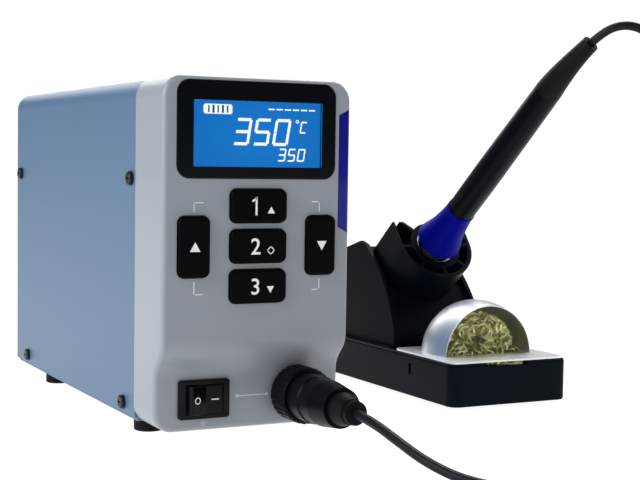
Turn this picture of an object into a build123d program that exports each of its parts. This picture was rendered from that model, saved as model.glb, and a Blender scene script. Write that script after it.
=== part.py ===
from build123d import *
from math import cos, hypot, pi, radians, sin, tan
import os

os.makedirs("parts", exist_ok=True)

# A soldering iron station: a control unit, the iron on its cord, and the stand the iron rests in.
# Millimetres. X runs to the right along the unit's front, Y to the back, Z up. Every piece is drawn
# from the point on the table under the middle of the control unit, and is written moved by TO_MIDDLE,
# so the files' origin is on the table under the middle of the whole station without its cord.

# ---- Control unit: overall ----
UNIT_W = 78.0           # side to side
UNIT_D = 207.0          # upper front face to the rear panel's outer face
UNIT_TOP = 139.0        # top of the front housing above the table
UNIT_BOTTOM = 4.0       # under side of the front housing above the table
FRONT = -UNIT_D / 2     # Y of the upper front face
REAR = UNIT_D / 2       # Y of the rear panel's outer face
CORNER_R = 8.0          # corners of the front, seen face on
EDGE_R = 1.8            # rounding round the front face
FRAME_D = 30.0          # depth of the moulded front housing
WALL = 2.5              # wall of the moulded front housing
STEP_TOP = 40.0         # height where the face starts to curve back
STEP_LOW = 24.0         # height where it is upright again
STEP_IN = 8.0           # how far the lower face stands back
FIT = 0.15              # clearance round a piece that is set into a cut-out
GAP = 0.3               # clearance between sheet parts and the housing

# ---- Front panel ----
LAYOUT_X = -0.7         # middle of the display and keys
PANE_W, PANE_H, PANE_T, PANE_R = 65.9, 36.6, 2.2, 5.0
PANE_Z = 119.0          # middle of the display pane
PANE_PROUD = 0.5        # how far the pane stands in front of the face
LEDGE = 2.0             # ledge that the pane is glued to
LCD_W, LCD_H = 53.4, 24.9   # lit area
LCD_Z = 117.5
MODULE_W, MODULE_H = 60.0, 31.0
BOARD_D, BOARD_T = 7.0, 1.6      # display board: depth of its front behind the face, thickness
KEY_TRAVEL = 0.9
KEY_PROUD = 2.0
KEY_R = 2.6
KEY_GAP = 0.3           # key to the edge of its cut-out
KEY_FLANGE, KEY_FLANGE_T = 1.1, 0.9
PILL_R, PILL_T = 2.5, 0.5
KEYS = {                # name: middle x, middle z, width, height
    "key_1": (LAYOUT_X + 0.2, 90.4, 23.2, 12.8),
    "key_2": (LAYOUT_X + 0.2, 75.1, 23.2, 12.8),
    "key_3": (LAYOUT_X + 0.2, 59.8, 23.2, 12.8),
    "key_up": (LAYOUT_X - 26.1, 75.1, 12.5, 23.0),
    "key_down": (LAYOUT_X + 26.7, 75.1, 12.3, 23.0),
}
POST_R, PILOT_R = 3.0, 1.25      # screw posts of the front housing
POSTS = ((-33.0, 98.3), (33.0, 98.3), (-33.0, 50.0), (33.0, 50.0))
STRIPE_T = 0.8          # inlaid side stripe
STRIPE_X = 34.0         # its left edge on the face
STRIPE_LOW, STRIPE_HIGH = 82.2, 125.6
STRIPE_FLARE = 3.2      # how much further it reaches at the corner, at each end
STRIPE_BACK = 13.0      # how far it runs back along the side

# ---- Power switch ----
SWITCH_X, SWITCH_Z = -18.9, 16.3
BEZEL_W, BEZEL_H, BEZEL_T = 20.9, 15.1, 1.6
SWITCH_BODY_W, SWITCH_BODY_H, SWITCH_BODY_D = 18.9, 12.9, 15.0
ROCKER_R = 7.5          # the rocker turns about its own round back
ROCKER_H = 11.0
ROCKER_VALLEY = 2.0     # middle of the rocker's face in front of its axle
ROCKER_SLOPE = 10.0     # degrees each half of the face rises from the middle
ROCKER_GAP = 0.25
AXLE_IN = 1.2           # axle behind the bezel's front face
AXLE_R = 1.0

# ---- Iron socket and plug, one axis ----
PLUG_X, PLUG_Z = 19.4, 16.8
SOCKET_R, SOCKET_BORE_R, SOCKET_D = 8.0, 6.6, 16.0
SOCKET_FLANGE_R, SOCKET_FLANGE_T = 9.6, 1.5
RING_R, RING_L = 11.0, 11.5      # knurled lock ring
SLEEVE_R, BODY_R, BODY_END_R = 9.4, 8.9, 7.6
NECK_R, NECK_END_R = 6.2, 4.5
PLUG_END = -44.0        # end of the plug's strain relief, in front of the upper face

# ---- Cover and chassis ----
COVER_IN = 0.5          # cover stands in from the front housing's sides
COVER_T = 1.0
COVER_BOTTOM = 6.5
SHEET = 1.2             # chassis sheet
TRAY_Z = 5.0            # under side of the tray
FLANGE_H = 12.0
SCREW_R, SCREW_HEAD_R, SCREW_HEAD_T = 1.5, 2.8, 1.8
COVER_SCREWS = ((36.0, 100.0), (199.5, 99.5), (44.0, 10.6), (186.0, 10.6))
FOOT_R, FOOT_H = 6.0, 5.0
FEET = ((-30.0, 37.5), (30.0, 37.5), (-30.0, 163.0), (30.0, 163.0))

# ---- Stand ----
STAND_X = 135.6         # middle plane of the stand
STAND_FRONT = -79.4     # front edge of its base
BASE_W, BASE_L, BASE_R = 62.4, 152.0, 5.0
BASE_LOW, BASE_TOP = 1.0, 20.0
BASE_WALL = 3.0
WOOL_BACK = 62.0        # wool pocket, from the front edge
WOOL_FLOOR = 5.0
SIDE_P, SIDE_LEAN, SIDE_T = 26.0, 4.5, 2.0     # side walls of the frame: foot, lean in degrees, sheet
PLATE_T = 0.8
PLATE_IN = 1.2
PLATE_BACK = 53.0
HOOD_FRONT, HOOD_BACK, HOOD_T = 18.5, 51.0, 0.7
HOOD_MOUTH_R, HOOD_BULGE_R = 23.2, 24.8

# ---- Iron, along its axis from the middle of the guard's rim ----
TILT = 39.0             # degrees the iron stands up from level
RIM_Y, RIM_Z = -16.2, 70.0
RIM_R, GRIP_R, GRIP_L = 11.0, 6.85, 25.6
HANDLE_L, HANDLE_R, HANDLE_END_R = 84.0, 6.55, 5.8
BOOT_L, BOOT_END_R, BOOT_BEND = 30.0, 3.6, 14.0
BARREL_R, BARREL_L = 3.2, 40.0
NUT_R, NUT_L = 5.0, 14.0
TIP_R, TIP_L = 2.2, 18.0
HOLDER_FACE = -3.5      # holder's front face along the same axis
HOLDER_W, HOLDER_UP, HOLDER_R = 20.0, 14.2, 18.7
HOLDER_T = 2.0
RIB_T = 1.6             # ribs in the holder's mouth, every 45 degrees but for the open top
MOUTH_DEPTH = 14.0
SOCKET_RING_R, SOCKET_RING_T = 13.0, 2.0
HOLDER_L = 62.0
LINER_R, LINER_T, LINER_L = 9.6, 0.8, 50.0

# ---- Cord ----
CORD_R = 1.8
COIL_X, COIL_Y, COIL_MID_R = 176.0, -175.5, 20.5
COIL_LAYER = 3          # turns side by side, in each of two layers
TIE_T, TIE_W = 0.5, 8.0


TO_MIDDLE = Vector((UNIT_W / 2 + 1.3 - STAND_X - BASE_W / 2) / 2, 9.75, 0)


def at_depth(depth):
    """The plane parallel to the front, this far behind the upper face, its normal to the front."""
    return Plane.XZ.offset(-(FRONT + depth))


def save(piece, name):
    """Write a finished piece, moved to the station's own origin."""
    placed = piece.part.moved(Location(TO_MIDDLE))
    placed.label = name
    export_step(placed, f"parts/{name}.step")


def pan_screw(head_seat, out, shank):
    """A pan-head screw: head on the plane through head_seat facing out, shank the other way."""
    with BuildPart() as screw:
        with BuildSketch(Plane(origin=head_seat, z_dir=out)):
            Circle(SCREW_HEAD_R)
        extrude(amount=SCREW_HEAD_T)
        crown = Vector(*head_seat) + Vector(*out) * (3 * SCREW_HEAD_T)
        fillet(screw.edges().filter_by(GeomType.CIRCLE).sort_by_distance(crown)[0], radius=0.7)
        with BuildSketch(Plane(origin=head_seat, z_dir=out)):
            Circle(SCREW_R)
        extrude(amount=-shank)
        top = Vector(*head_seat) + Vector(*out) * SCREW_HEAD_T
        with BuildSketch(Plane(origin=top, z_dir=out)):
            Rectangle(3.6, 0.7)
            Rectangle(0.7, 3.6)
        extrude(amount=-0.9, mode=Mode.SUBTRACT)
    return screw.part


def front_form(inset, back, edge_r, rear_r=0.0):
    """The front housing's outer form drawn in by inset, from its face as far back as back."""
    face, low, top = FRONT + inset, UNIT_BOTTOM + inset, UNIT_TOP - inset
    with BuildPart() as form:
        with BuildSketch(Plane.YZ) as side:
            with BuildLine():
                Polyline((face, STEP_TOP), (face, top), (back, top), (back, low), (face + STEP_IN, low),
                         (face + STEP_IN, STEP_LOW))
                Spline((face + STEP_IN, STEP_LOW), (face, STEP_TOP), tangents=((0, 1), (0, 1)))
            make_face()
            if rear_r:
                fillet(side.vertices().sort_by_distance((back, low, 0))[0], radius=rear_r)
        extrude(amount=UNIT_W / 2 - inset, both=True)
        with BuildSketch(Plane.XZ):
            with Locations((0, (UNIT_TOP + UNIT_BOTTOM) / 2)):
                RectangleRounded(UNIT_W - 2 * inset, UNIT_TOP - UNIT_BOTTOM - 2 * inset, CORNER_R - inset)
        extrude(amount=UNIT_D, both=True, mode=Mode.INTERSECT)
        if edge_r:
            rim = [
                edge for edge in form.edges()
                if edge.center().Y < face + STEP_IN + 0.1
                and not (abs(edge.center().X) < 0.1 and STEP_LOW - 1 < edge.center().Z < STEP_TOP + 1)
            ]
            fillet(rim, radius=edge_r)
    return form.part


def stripe_region(grow):
    """The prism that the side stripe fills, seen from the front, larger all round by grow."""
    with BuildPart() as region:
        with BuildSketch(at_depth(-1)):
            with BuildLine():
                Polyline(
                    (STRIPE_X - grow, STRIPE_LOW - grow),
                    (UNIT_W / 2 + 1, STRIPE_LOW - STRIPE_FLARE - grow),
                    (UNIT_W / 2 + 1, STRIPE_HIGH + STRIPE_FLARE + grow),
                    (STRIPE_X - grow, STRIPE_HIGH + grow),
                    close=True,
                )
            make_face()
        extrude(amount=-(STRIPE_BACK + 1 + grow))
    return region.part


# ---- Front housing: a painted moulding that carries the display, keys, switch and iron socket ----
BEHIND = FRONT + FRAME_D
LUG_X = UNIT_W / 2 - COVER_IN - COVER_T - GAP     # outer side of the lugs the cover is screwed to
lug_y, lug_z = COVER_SCREWS[0]
with BuildPart() as front_housing:
    add(front_form(0, BEHIND, EDGE_R, rear_r=2.2))
    add(front_form(WALL, BEHIND + 1, 0), mode=Mode.SUBTRACT)
    # Posts for the display board and for the chassis tray's front tab.
    with BuildSketch(at_depth(WALL - 0.2)):
        with Locations(*POSTS):
            Circle(POST_R)
    extrude(amount=-(BOARD_D - WALL + 0.2))
    with BuildSketch(at_depth(FRAME_D)):
        with Locations((0, 13.0), (0, 29.0)):
            Circle(POST_R + 0.5)
    extrude(amount=FRAME_D - STEP_IN - WALL / 2)
    # Lugs inside the cover's front edge.
    for side in (-1, 1):
        with BuildSketch(at_depth(FRAME_D - 12)):
            with Locations((side * (LUG_X - 1.5), lug_z)):
                Rectangle(3.0, 14.0)
        extrude(amount=-(12 + 11))
        with BuildSketch(Plane.YZ.offset(side * LUG_X)):
            with Locations((FRONT + lug_y, lug_z)):
                Circle(PILOT_R)
        extrude(amount=-side * 6, mode=Mode.SUBTRACT)
    # Display pocket with its ledge.
    with BuildSketch(at_depth(0)):
        with Locations((LAYOUT_X, PANE_Z)):
            RectangleRounded(PANE_W + 2 * FIT, PANE_H + 2 * FIT, PANE_R + FIT)
    extrude(amount=-(PANE_T - PANE_PROUD), mode=Mode.SUBTRACT)
    with BuildSketch(at_depth(0)):
        with Locations((LAYOUT_X, PANE_Z)):
            RectangleRounded(PANE_W - 2 * LEDGE, PANE_H - 2 * LEDGE, PANE_R - LEDGE)
    extrude(amount=-WALL - 1, mode=Mode.SUBTRACT)
    # Cut-outs for the keys.
    with BuildSketch(at_depth(0)):
        for x, z, w, h in KEYS.values():
            with Locations((x, z)):
                RectangleRounded(w + 2 * KEY_GAP, h + 2 * KEY_GAP, KEY_R + KEY_GAP)
    extrude(amount=-WALL - 1, mode=Mode.SUBTRACT)
    # Cut-outs for the power switch and the iron socket, in the lower face.
    with BuildSketch(at_depth(STEP_IN)):
        with Locations((SWITCH_X, SWITCH_Z)):
            Rectangle(SWITCH_BODY_W + 2 * FIT, SWITCH_BODY_H + 2 * FIT)
        with Locations((PLUG_X, PLUG_Z)):
            Circle(SOCKET_R + FIT)
    extrude(amount=-WALL - 1, mode=Mode.SUBTRACT)
    # Spot face for the socket's flange, where the face starts to curve forward.
    with BuildSketch(at_depth(STEP_IN)):
        with Locations((PLUG_X, PLUG_Z)):
            Circle(SOCKET_FLANGE_R + FIT)
    extrude(amount=STEP_IN, mode=Mode.SUBTRACT)
    # Pilot holes.
    with BuildSketch(at_depth(BOARD_D)):
        with Locations(*POSTS):
            Circle(PILOT_R)
    extrude(amount=BOARD_D - WALL, mode=Mode.SUBTRACT)
    with BuildSketch(at_depth(FRAME_D)):
        with Locations((0, 13.0), (0, 29.0)):
            Circle(PILOT_R)
    extrude(amount=9, mode=Mode.SUBTRACT)
    add(stripe_region(FIT).intersect(front_form(0, BEHIND - 1, EDGE_R) - front_form(STRIPE_T, BEHIND, 0)),
        mode=Mode.SUBTRACT)
save(front_housing, "front_housing")

# ---- Side stripe: a coloured inlay round the front right corner ----
with BuildPart() as side_stripe:
    add(front_form(0, BEHIND - 1, EDGE_R))
    add(front_form(STRIPE_T, BEHIND, 0), mode=Mode.SUBTRACT)
    add(stripe_region(0), mode=Mode.INTERSECT)
save(side_stripe, "side_stripe")

# ---- Display: a black-bordered pane, the lit module behind it, and the board both stand on ----
with BuildPart() as display_window:
    with BuildSketch(at_depth(PANE_T - PANE_PROUD)):
        with Locations((LAYOUT_X, PANE_Z)):
            RectangleRounded(PANE_W, PANE_H, PANE_R)
    extrude(amount=PANE_T)
    chamfer(display_window.faces().sort_by(Axis.Y)[0].edges(), length=0.4)
save(display_window, "display_window")

with BuildPart() as lcd_module:
    with BuildSketch(at_depth(WALL + 0.2)):
        with Locations((LAYOUT_X, LCD_Z)):
            Rectangle(MODULE_W, MODULE_H)
    extrude(amount=-(BOARD_D - WALL - 0.2))
save(lcd_module, "lcd_module")

BOARD_LOW, BOARD_HIGH, BOARD_HALF = 46.0, 136.0, 35.8
with BuildPart() as display_board:
    with BuildSketch(at_depth(BOARD_D)):
        with Locations((0, (BOARD_LOW + BOARD_HIGH) / 2)):
            RectangleRounded(2 * BOARD_HALF, BOARD_HIGH - BOARD_LOW, 5.6)
        with Locations(*POSTS):
            Circle(SCREW_R + 0.1, mode=Mode.SUBTRACT)
    extrude(amount=-BOARD_T)
save(display_board, "display_board")

# ---- Keys: hard-topped rubber keys with a contact pill, on a rubber mat on the board ----
MAT_T = 1.5
for name, (x, z, w, h) in KEYS.items():
    with BuildPart() as key:
        with BuildSketch(at_depth(-KEY_PROUD)):
            with Locations((x, z)):
                RectangleRounded(w, h, KEY_R)
        extrude(amount=-(KEY_PROUD + WALL + KEY_GAP + KEY_FLANGE_T))
        fillet(key.faces().sort_by(Axis.Y)[0].edges(), radius=0.9)
        with BuildSketch(at_depth(WALL + KEY_GAP)):
            with Locations((x, z)):
                RectangleRounded(w + 2 * KEY_FLANGE, h + 2 * KEY_FLANGE, KEY_R)
        extrude(amount=-KEY_FLANGE_T)
        with BuildSketch(at_depth(WALL)):
            with Locations((x, z)):
                Circle(PILL_R)
        extrude(amount=-(BOARD_D - WALL - KEY_TRAVEL - 0.1))
    save(key, name)

with BuildPart() as key_mat:
    with BuildSketch(at_depth(BOARD_D)):
        with Locations((0, 74.5)):
            RectangleRounded(2 * BOARD_HALF - 2, 47.0, 3.0)
        for x, z, w, h in KEYS.values():
            with Locations((x, z)):
                RectangleRounded(w - 4.0, h - 4.0, 2.0, mode=Mode.SUBTRACT)
        with Locations(*POSTS):
            Circle(POST_R + 0.6, mode=Mode.SUBTRACT)
    extrude(amount=MAT_T)
save(key_mat, "key_mat")

# ---- Parts on the back of the display board ----
BOARD_BACK = BOARD_D + BOARD_T
with BuildPart() as controller_chip:
    with BuildSketch(at_depth(BOARD_BACK)):
        with Locations((6, 112)):
            Rectangle(12, 12)
    extrude(amount=-1.6)
save(controller_chip, "controller_chip")

with BuildPart() as buzzer:
    with BuildSketch(at_depth(BOARD_BACK)):
        with Locations((-20, 112)):
            Circle(6)
    extrude(amount=-8.5)
    with BuildSketch(at_depth(BOARD_BACK + 8.5)):
        with Locations((-20, 112)):
            Circle(1.1)
    extrude(amount=2, mode=Mode.SUBTRACT)
save(buzzer, "buzzer")

# ---- Power switch: snap-in housing, rocker on its axle, two tabs behind ----
FACE_LOW = FRONT + STEP_IN
TAB_T, TAB_W, TAB_L, TAB_SEAT = 0.8, 4.8, 12.0, 4.0
TABS = [(SWITCH_X - 5, SWITCH_Z), (SWITCH_X + 5, SWITCH_Z)]
axle_y = FACE_LOW - BEZEL_T + AXLE_IN
with BuildPart() as switch_housing:
    with BuildSketch(at_depth(STEP_IN - BEZEL_T)):
        with Locations((SWITCH_X, SWITCH_Z)):
            RectangleRounded(BEZEL_W, BEZEL_H, 1.2)
    extrude(amount=-BEZEL_T)
    with BuildSketch(at_depth(STEP_IN)):
        with Locations((SWITCH_X, SWITCH_Z)):
            Rectangle(SWITCH_BODY_W, SWITCH_BODY_H)
    extrude(amount=-SWITCH_BODY_D)
    fillet(switch_housing.faces().sort_by(Axis.Y)[0].edges(), radius=0.5)
    # The well that the rocker turns in, its end at the bezel open over the whole face.
    with BuildSketch(Plane.XY.offset(SWITCH_Z - ROCKER_H / 2 - ROCKER_GAP)):
        with Locations((SWITCH_X, axle_y)):
            Circle(ROCKER_R + ROCKER_GAP)
        with Locations((SWITCH_X, axle_y - 5)):
            Rectangle(2 * (ROCKER_R + ROCKER_GAP), 10)
    extrude(amount=ROCKER_H + 2 * ROCKER_GAP, mode=Mode.SUBTRACT)
    # Bores for the rocker's axle, in the top and bottom of the well.
    with BuildSketch(Plane.XY.offset(SWITCH_Z - ROCKER_H / 2 - 0.8)):
        with Locations((SWITCH_X, axle_y)):
            Circle(AXLE_R + 0.05)
    extrude(amount=ROCKER_H + 1.6, mode=Mode.SUBTRACT)
    # Slots that the tabs are pressed into.
    with BuildSketch(at_depth(STEP_IN + SWITCH_BODY_D - TAB_SEAT)):
        with Locations(*TABS):
            Rectangle(TAB_T, TAB_W)
    extrude(amount=-TAB_SEAT, mode=Mode.SUBTRACT)
save(switch_housing, "switch_housing")

# The rocker is drawn as it lies when on: its right half pressed in.
rocker_plane = Plane(
    origin=(SWITCH_X, axle_y, SWITCH_Z),
    x_dir=(cos(radians(ROCKER_SLOPE)), sin(radians(ROCKER_SLOPE)), 0),
    z_dir=(0, 0, 1),
)
with BuildPart() as switch_rocker:
    with BuildSketch(rocker_plane):
        Circle(ROCKER_R)
        rise = 20 * tan(radians(ROCKER_SLOPE))
        with BuildLine():
            Polyline((0, -ROCKER_VALLEY), (20, -ROCKER_VALLEY - rise), (20, -20), (-20, -20),
                     (-20, -ROCKER_VALLEY - rise), close=True)
        make_face(mode=Mode.SUBTRACT)
    extrude(amount=ROCKER_H / 2, both=True)
    fillet(
        [e for e in switch_rocker.edges().filter_by(GeomType.LINE)
         if e.center().Y < axle_y - 0.5 and hypot(e.center().X - SWITCH_X, e.center().Y - axle_y) > 2.5],
        radius=0.4,
    )
    with BuildSketch(Plane.XY.offset(SWITCH_Z)):
        with Locations((SWITCH_X, axle_y)):
            Circle(AXLE_R)
    extrude(amount=ROCKER_H / 2 + 0.7, both=True)
save(switch_rocker, "switch_rocker")

with BuildPart() as switch_terminals:
    with BuildSketch(at_depth(STEP_IN + SWITCH_BODY_D - TAB_SEAT)):
        with Locations(*TABS):
            Rectangle(TAB_T, TAB_W)
    extrude(amount=-TAB_L)
save(switch_terminals, "switch_terminals")

# ---- Iron socket in the lower face, its nut behind the wall ----
PIN_CIRCLE, PIN_R = 3.6, 0.65
PIN_PLACES = [
    (PLUG_X + PIN_CIRCLE * cos(radians(turn)), PLUG_Z + PIN_CIRCLE * sin(radians(turn)))
    for turn in range(0, 360, 60)
]
with BuildPart() as iron_socket:
    with BuildSketch(at_depth(STEP_IN - SOCKET_FLANGE_T)):
        with Locations((PLUG_X, PLUG_Z)):
            Circle(SOCKET_FLANGE_R)
    extrude(amount=-SOCKET_FLANGE_T)
    with BuildSketch(at_depth(STEP_IN)):
        with Locations((PLUG_X, PLUG_Z)):
            Circle(SOCKET_R)
    extrude(amount=-SOCKET_D)
    with BuildSketch(at_depth(STEP_IN - SOCKET_FLANGE_T)):
        with Locations((PLUG_X, PLUG_Z)):
            Circle(SOCKET_BORE_R)
    extrude(amount=-(SOCKET_D - 3), mode=Mode.SUBTRACT)
    with BuildSketch(at_depth(STEP_IN + SOCKET_D)):
        with Locations(*PIN_PLACES):
            Circle(PIN_R + 0.05)
    extrude(amount=SOCKET_D, mode=Mode.SUBTRACT)
save(iron_socket, "iron_socket")

with BuildPart() as socket_nut:
    with BuildSketch(at_depth(STEP_IN + WALL)):
        with Locations((PLUG_X, PLUG_Z)):
            RegularPolygon(9.8, 6, major_radius=False)
            Circle(SOCKET_R + 0.05, mode=Mode.SUBTRACT)
    extrude(amount=-2.5)
save(socket_nut, "socket_nut")

with BuildPart() as socket_pins:
    with BuildSketch(at_depth(STEP_IN + SOCKET_D + 5)):
        with Locations(*PIN_PLACES):
            Circle(PIN_R)
    extrude(amount=5 + SOCKET_D + 1)
save(socket_pins, "socket_pins")

# ---- Plug: shell, turning lock ring and rubber strain relief, all round one axis ----
def turned(points, name, sockets=()):
    """A piece turned about the plug's axis from points (radius, distance behind the upper face)."""
    with BuildPart() as piece:
        with BuildSketch(Plane(origin=(PLUG_X, FRONT, PLUG_Z), x_dir=(1, 0, 0), z_dir=(0, 0, 1))):
            with BuildLine():
                Polyline(*points, close=True)
            make_face()
        revolve(axis=Axis((PLUG_X, FRONT, PLUG_Z), (0, 1, 0)))
        if sockets:
            with BuildSketch(at_depth(points[0][1])):
                with Locations(*sockets):
                    Circle(PIN_R + 0.1)
            extrude(amount=8.0, mode=Mode.SUBTRACT)
    save(piece, name)


ring_back = STEP_IN - SOCKET_FLANGE_T - 0.3
ring_front = ring_back - RING_L
nose_back = STEP_IN + 5.0
boot_back = -33.0
turned(
    [(0, nose_back), (SOCKET_BORE_R - 0.2, nose_back), (SOCKET_BORE_R - 0.2, ring_front + 6.0),
     (7.6, ring_front + 6.0), (7.6, ring_front - 0.3), (SLEEVE_R, ring_front - 0.3), (SLEEVE_R, -14.0),
     (BODY_R, -15.0), (BODY_R, -22.0), (BODY_END_R, boot_back), (0, boot_back)],
    "plug_shell", sockets=PIN_PLACES,
)
with BuildPart() as lock_ring:
    with BuildSketch(at_depth(ring_back)):
        with Locations((PLUG_X, PLUG_Z)):
            Circle(RING_R)
    extrude(amount=RING_L)
    chamfer(lock_ring.edges().filter_by(GeomType.CIRCLE), length=0.8)
    with BuildSketch(at_depth(ring_back)):
        with Locations((PLUG_X, PLUG_Z)):
            with PolarLocations(RING_R + 0.35, 28):
                Circle(0.75)
    extrude(amount=RING_L, mode=Mode.SUBTRACT)
    with BuildSketch(at_depth(ring_back)):
        with Locations((PLUG_X, PLUG_Z)):
            Circle(8.0)
    extrude(amount=RING_L, mode=Mode.SUBTRACT)
save(lock_ring, "lock_ring")
turned(
    [(0, boot_back), (NECK_R, boot_back), (NECK_R, boot_back - 2.5), (NECK_END_R + 0.4, PLUG_END + 3.2),
     (NECK_END_R - 0.6, PLUG_END + 2.6), (NECK_END_R - 0.6, PLUG_END + 2.0), (NECK_END_R, PLUG_END + 1.6),
     (NECK_END_R, PLUG_END), (0, PLUG_END)],
    "plug_boot",
)

# ---- Housing cover: one folded sheet over the top and both sides ----
cover_half, cover_top = UNIT_W / 2 - COVER_IN, UNIT_TOP - COVER_IN
COVER_FRONT, COVER_REAR = BEHIND + 0.2, REAR - SHEET - 0.2 + 2.0
with BuildPart() as housing_cover:
    with BuildSketch(Plane.XZ.offset(-COVER_FRONT)):
        with Locations((0, (cover_top + COVER_BOTTOM - 20) / 2)):
            RectangleRounded(2 * cover_half, cover_top - COVER_BOTTOM + 20, CORNER_R - COVER_IN)
            RectangleRounded(2 * (cover_half - COVER_T), cover_top - COVER_BOTTOM + 20 - 2 * COVER_T,
                             CORNER_R - COVER_IN - COVER_T, mode=Mode.SUBTRACT)
        with Locations((0, COVER_BOTTOM - 15)):
            Rectangle(2 * UNIT_W, 30, mode=Mode.SUBTRACT)
    extrude(amount=-(COVER_REAR - COVER_FRONT))
    for y, z in COVER_SCREWS:
        with BuildSketch(Plane.YZ):
            with Locations((FRONT + y, z)):
                Circle(SCREW_R + 0.1)
        extrude(amount=UNIT_W, both=True, mode=Mode.SUBTRACT)
save(housing_cover, "housing_cover")

with BuildPart() as cover_screws:
    for y, z in COVER_SCREWS:
        for side in (-1, 1):
            add(pan_screw((side * cover_half, FRONT + y, z), (side, 0, 0), 6.0))
save(cover_screws, "cover_screws")

# ---- Chassis tray: one bent sheet, floor, front tab, side flanges and two uprights ----
CORE_X, CORE_Y, CORE_W, CORE_STACK, CORE_H, LIMB = 0.0, 43.0, 54.0, 30.0, 45.0, 9.0
EAR = 6.0               # bracket's ears beside the transformer
ear_x = (CORE_W + 0.2 + 2 * SHEET + EAR) / 2
BRACKET_SCREWS = [(CORE_X - ear_x, CORE_Y), (CORE_X + ear_x, CORE_Y)]
TRAY_TOP = TRAY_Z + SHEET
tray_half = cover_half - COVER_T - GAP
tray_front, tray_back = BEHIND + 0.3, REAR - SHEET
inlet_x, inlet_z = 9.0, 40.0
INLET_W, INLET_H, INLET_D = 27.0, 31.0, 24.0
JACK_X, JACK_Z, JACK_R = -22.0, 26.0, 2.0
VENT_ROWS, VENT_PITCH, VENT_W = 7, 7.0, 52.0
with BuildPart() as chassis_tray:
    with BuildSketch(Plane.XY.offset(TRAY_Z)):
        with Locations((0, (tray_front + tray_back) / 2)):
            Rectangle(2 * tray_half, tray_back - tray_front)
        with Locations(*[(x, FRONT + y) for x, y in FEET]):
            Circle(SCREW_R + 0.1, mode=Mode.SUBTRACT)
        with Locations(*BRACKET_SCREWS):
            Circle(PILOT_R, mode=Mode.SUBTRACT)
    extrude(amount=SHEET)
    # Front tab, screwed to the two posts of the front housing.
    with BuildSketch(at_depth(FRAME_D + 0.3)):
        with Locations((0, (TRAY_Z + 35.0) / 2)):
            Rectangle(11.0, 35.0 - TRAY_Z)
        with Locations((0, 13.0), (0, 29.0)):
            Circle(SCREW_R + 0.1, mode=Mode.SUBTRACT)
    extrude(amount=-SHEET)
    # Side flanges inside the cover.
    for side in (-1, 1):
        with BuildSketch(Plane.YZ.offset(side * tray_half)):
            with Locations(((tray_front + tray_back) / 2, TRAY_Z + FLANGE_H / 2)):
                Rectangle(tray_back - tray_front, FLANGE_H)
            with Locations((tray_back - 6.0, (TRAY_Z + cover_top - 10) / 2)):
                Rectangle(12.0, cover_top - 10 - TRAY_Z)
            with Locations(*[(FRONT + y, z) for y, z in COVER_SCREWS[1:]]):
                Circle(SCREW_R - 0.1, mode=Mode.SUBTRACT)
        extrude(amount=-side * SHEET)
save(chassis_tray, "chassis_tray")

# ---- Rear panel: a flat sheet welded to the tray's ends, with the cut-outs and the vents ----
panel_top = cover_top - COVER_T - GAP
with BuildPart() as rear_panel:
    with BuildSketch(Plane.XZ.offset(-(REAR - SHEET))):
        with Locations((0, (TRAY_Z + panel_top) / 2)):
            Rectangle(2 * tray_half, panel_top - TRAY_Z)
        with Locations((inlet_x, inlet_z)):
            Rectangle(INLET_W + 2 * FIT, INLET_H + 2 * FIT, mode=Mode.SUBTRACT)
        with Locations((JACK_X, JACK_Z)):
            Circle(4.0 + FIT, mode=Mode.SUBTRACT)
        with Locations((0, 96.0)):
            with GridLocations(VENT_W / 2 + 3, VENT_PITCH, 2, VENT_ROWS):
                SlotOverall(VENT_W / 2, 3.0, mode=Mode.SUBTRACT)
    extrude(amount=-SHEET)
    for corner in (-1, 1):
        upper = rear_panel.edges().filter_by(Axis.Y).filter_by_position(
            Axis.Z, panel_top - 0.01, panel_top + 0.01).filter_by_position(
            Axis.X, corner * tray_half - 0.01, corner * tray_half + 0.01)
        fillet(upper, radius=CORNER_R - COVER_IN - COVER_T)
save(rear_panel, "rear_panel")

# ---- Rubber feet, and the screws that hold them from inside the tray ----
with BuildPart() as unit_feet:
    with BuildSketch():
        with Locations(*[(x, FRONT + y) for x, y in FEET]):
            Circle(FOOT_R)
    extrude(amount=FOOT_H)
    fillet(unit_feet.faces().sort_by(Axis.Z)[0:4].edges(), radius=0.8)
    with BuildSketch():
        with Locations(*[(x, FRONT + y) for x, y in FEET]):
            Circle(SCREW_R)
    extrude(amount=FOOT_H, mode=Mode.SUBTRACT)
save(unit_feet, "unit_feet")

with BuildPart() as foot_screws:
    for x, y in FEET:
        add(pan_screw((x, FRONT + y, TRAY_TOP), (0, 0, 1), 5.0))
save(foot_screws, "foot_screws")

# ---- Transformer on the tray: laminated core, wound bobbin, strap bracket ----
with BuildPart() as transformer_core:
    with BuildSketch(Plane.XZ.offset(-(CORE_Y - CORE_STACK / 2))):
        with Locations((CORE_X, TRAY_TOP + CORE_H / 2)):
            Rectangle(CORE_W, CORE_H)
            with GridLocations(CORE_W / 2, 1, 2, 1):
                Rectangle(CORE_W / 2 - 2 * LIMB, CORE_H - 2 * LIMB, mode=Mode.SUBTRACT)
    extrude(amount=-CORE_STACK)
save(transformer_core, "transformer_core")

with BuildPart() as transformer_winding:
    bobbin_w = CORE_W - 2 * LIMB - 0.8
    with BuildSketch(Plane.XY.offset(TRAY_TOP + LIMB + 0.4)):
        with Locations((CORE_X, CORE_Y)):
            RectangleRounded(bobbin_w, CORE_STACK + 18.0, 4.0)
            Rectangle(2 * LIMB + 0.4, CORE_STACK + 0.4, mode=Mode.SUBTRACT)
    extrude(amount=CORE_H - 2 * LIMB - 0.8)
save(transformer_winding, "transformer_winding")

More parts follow.
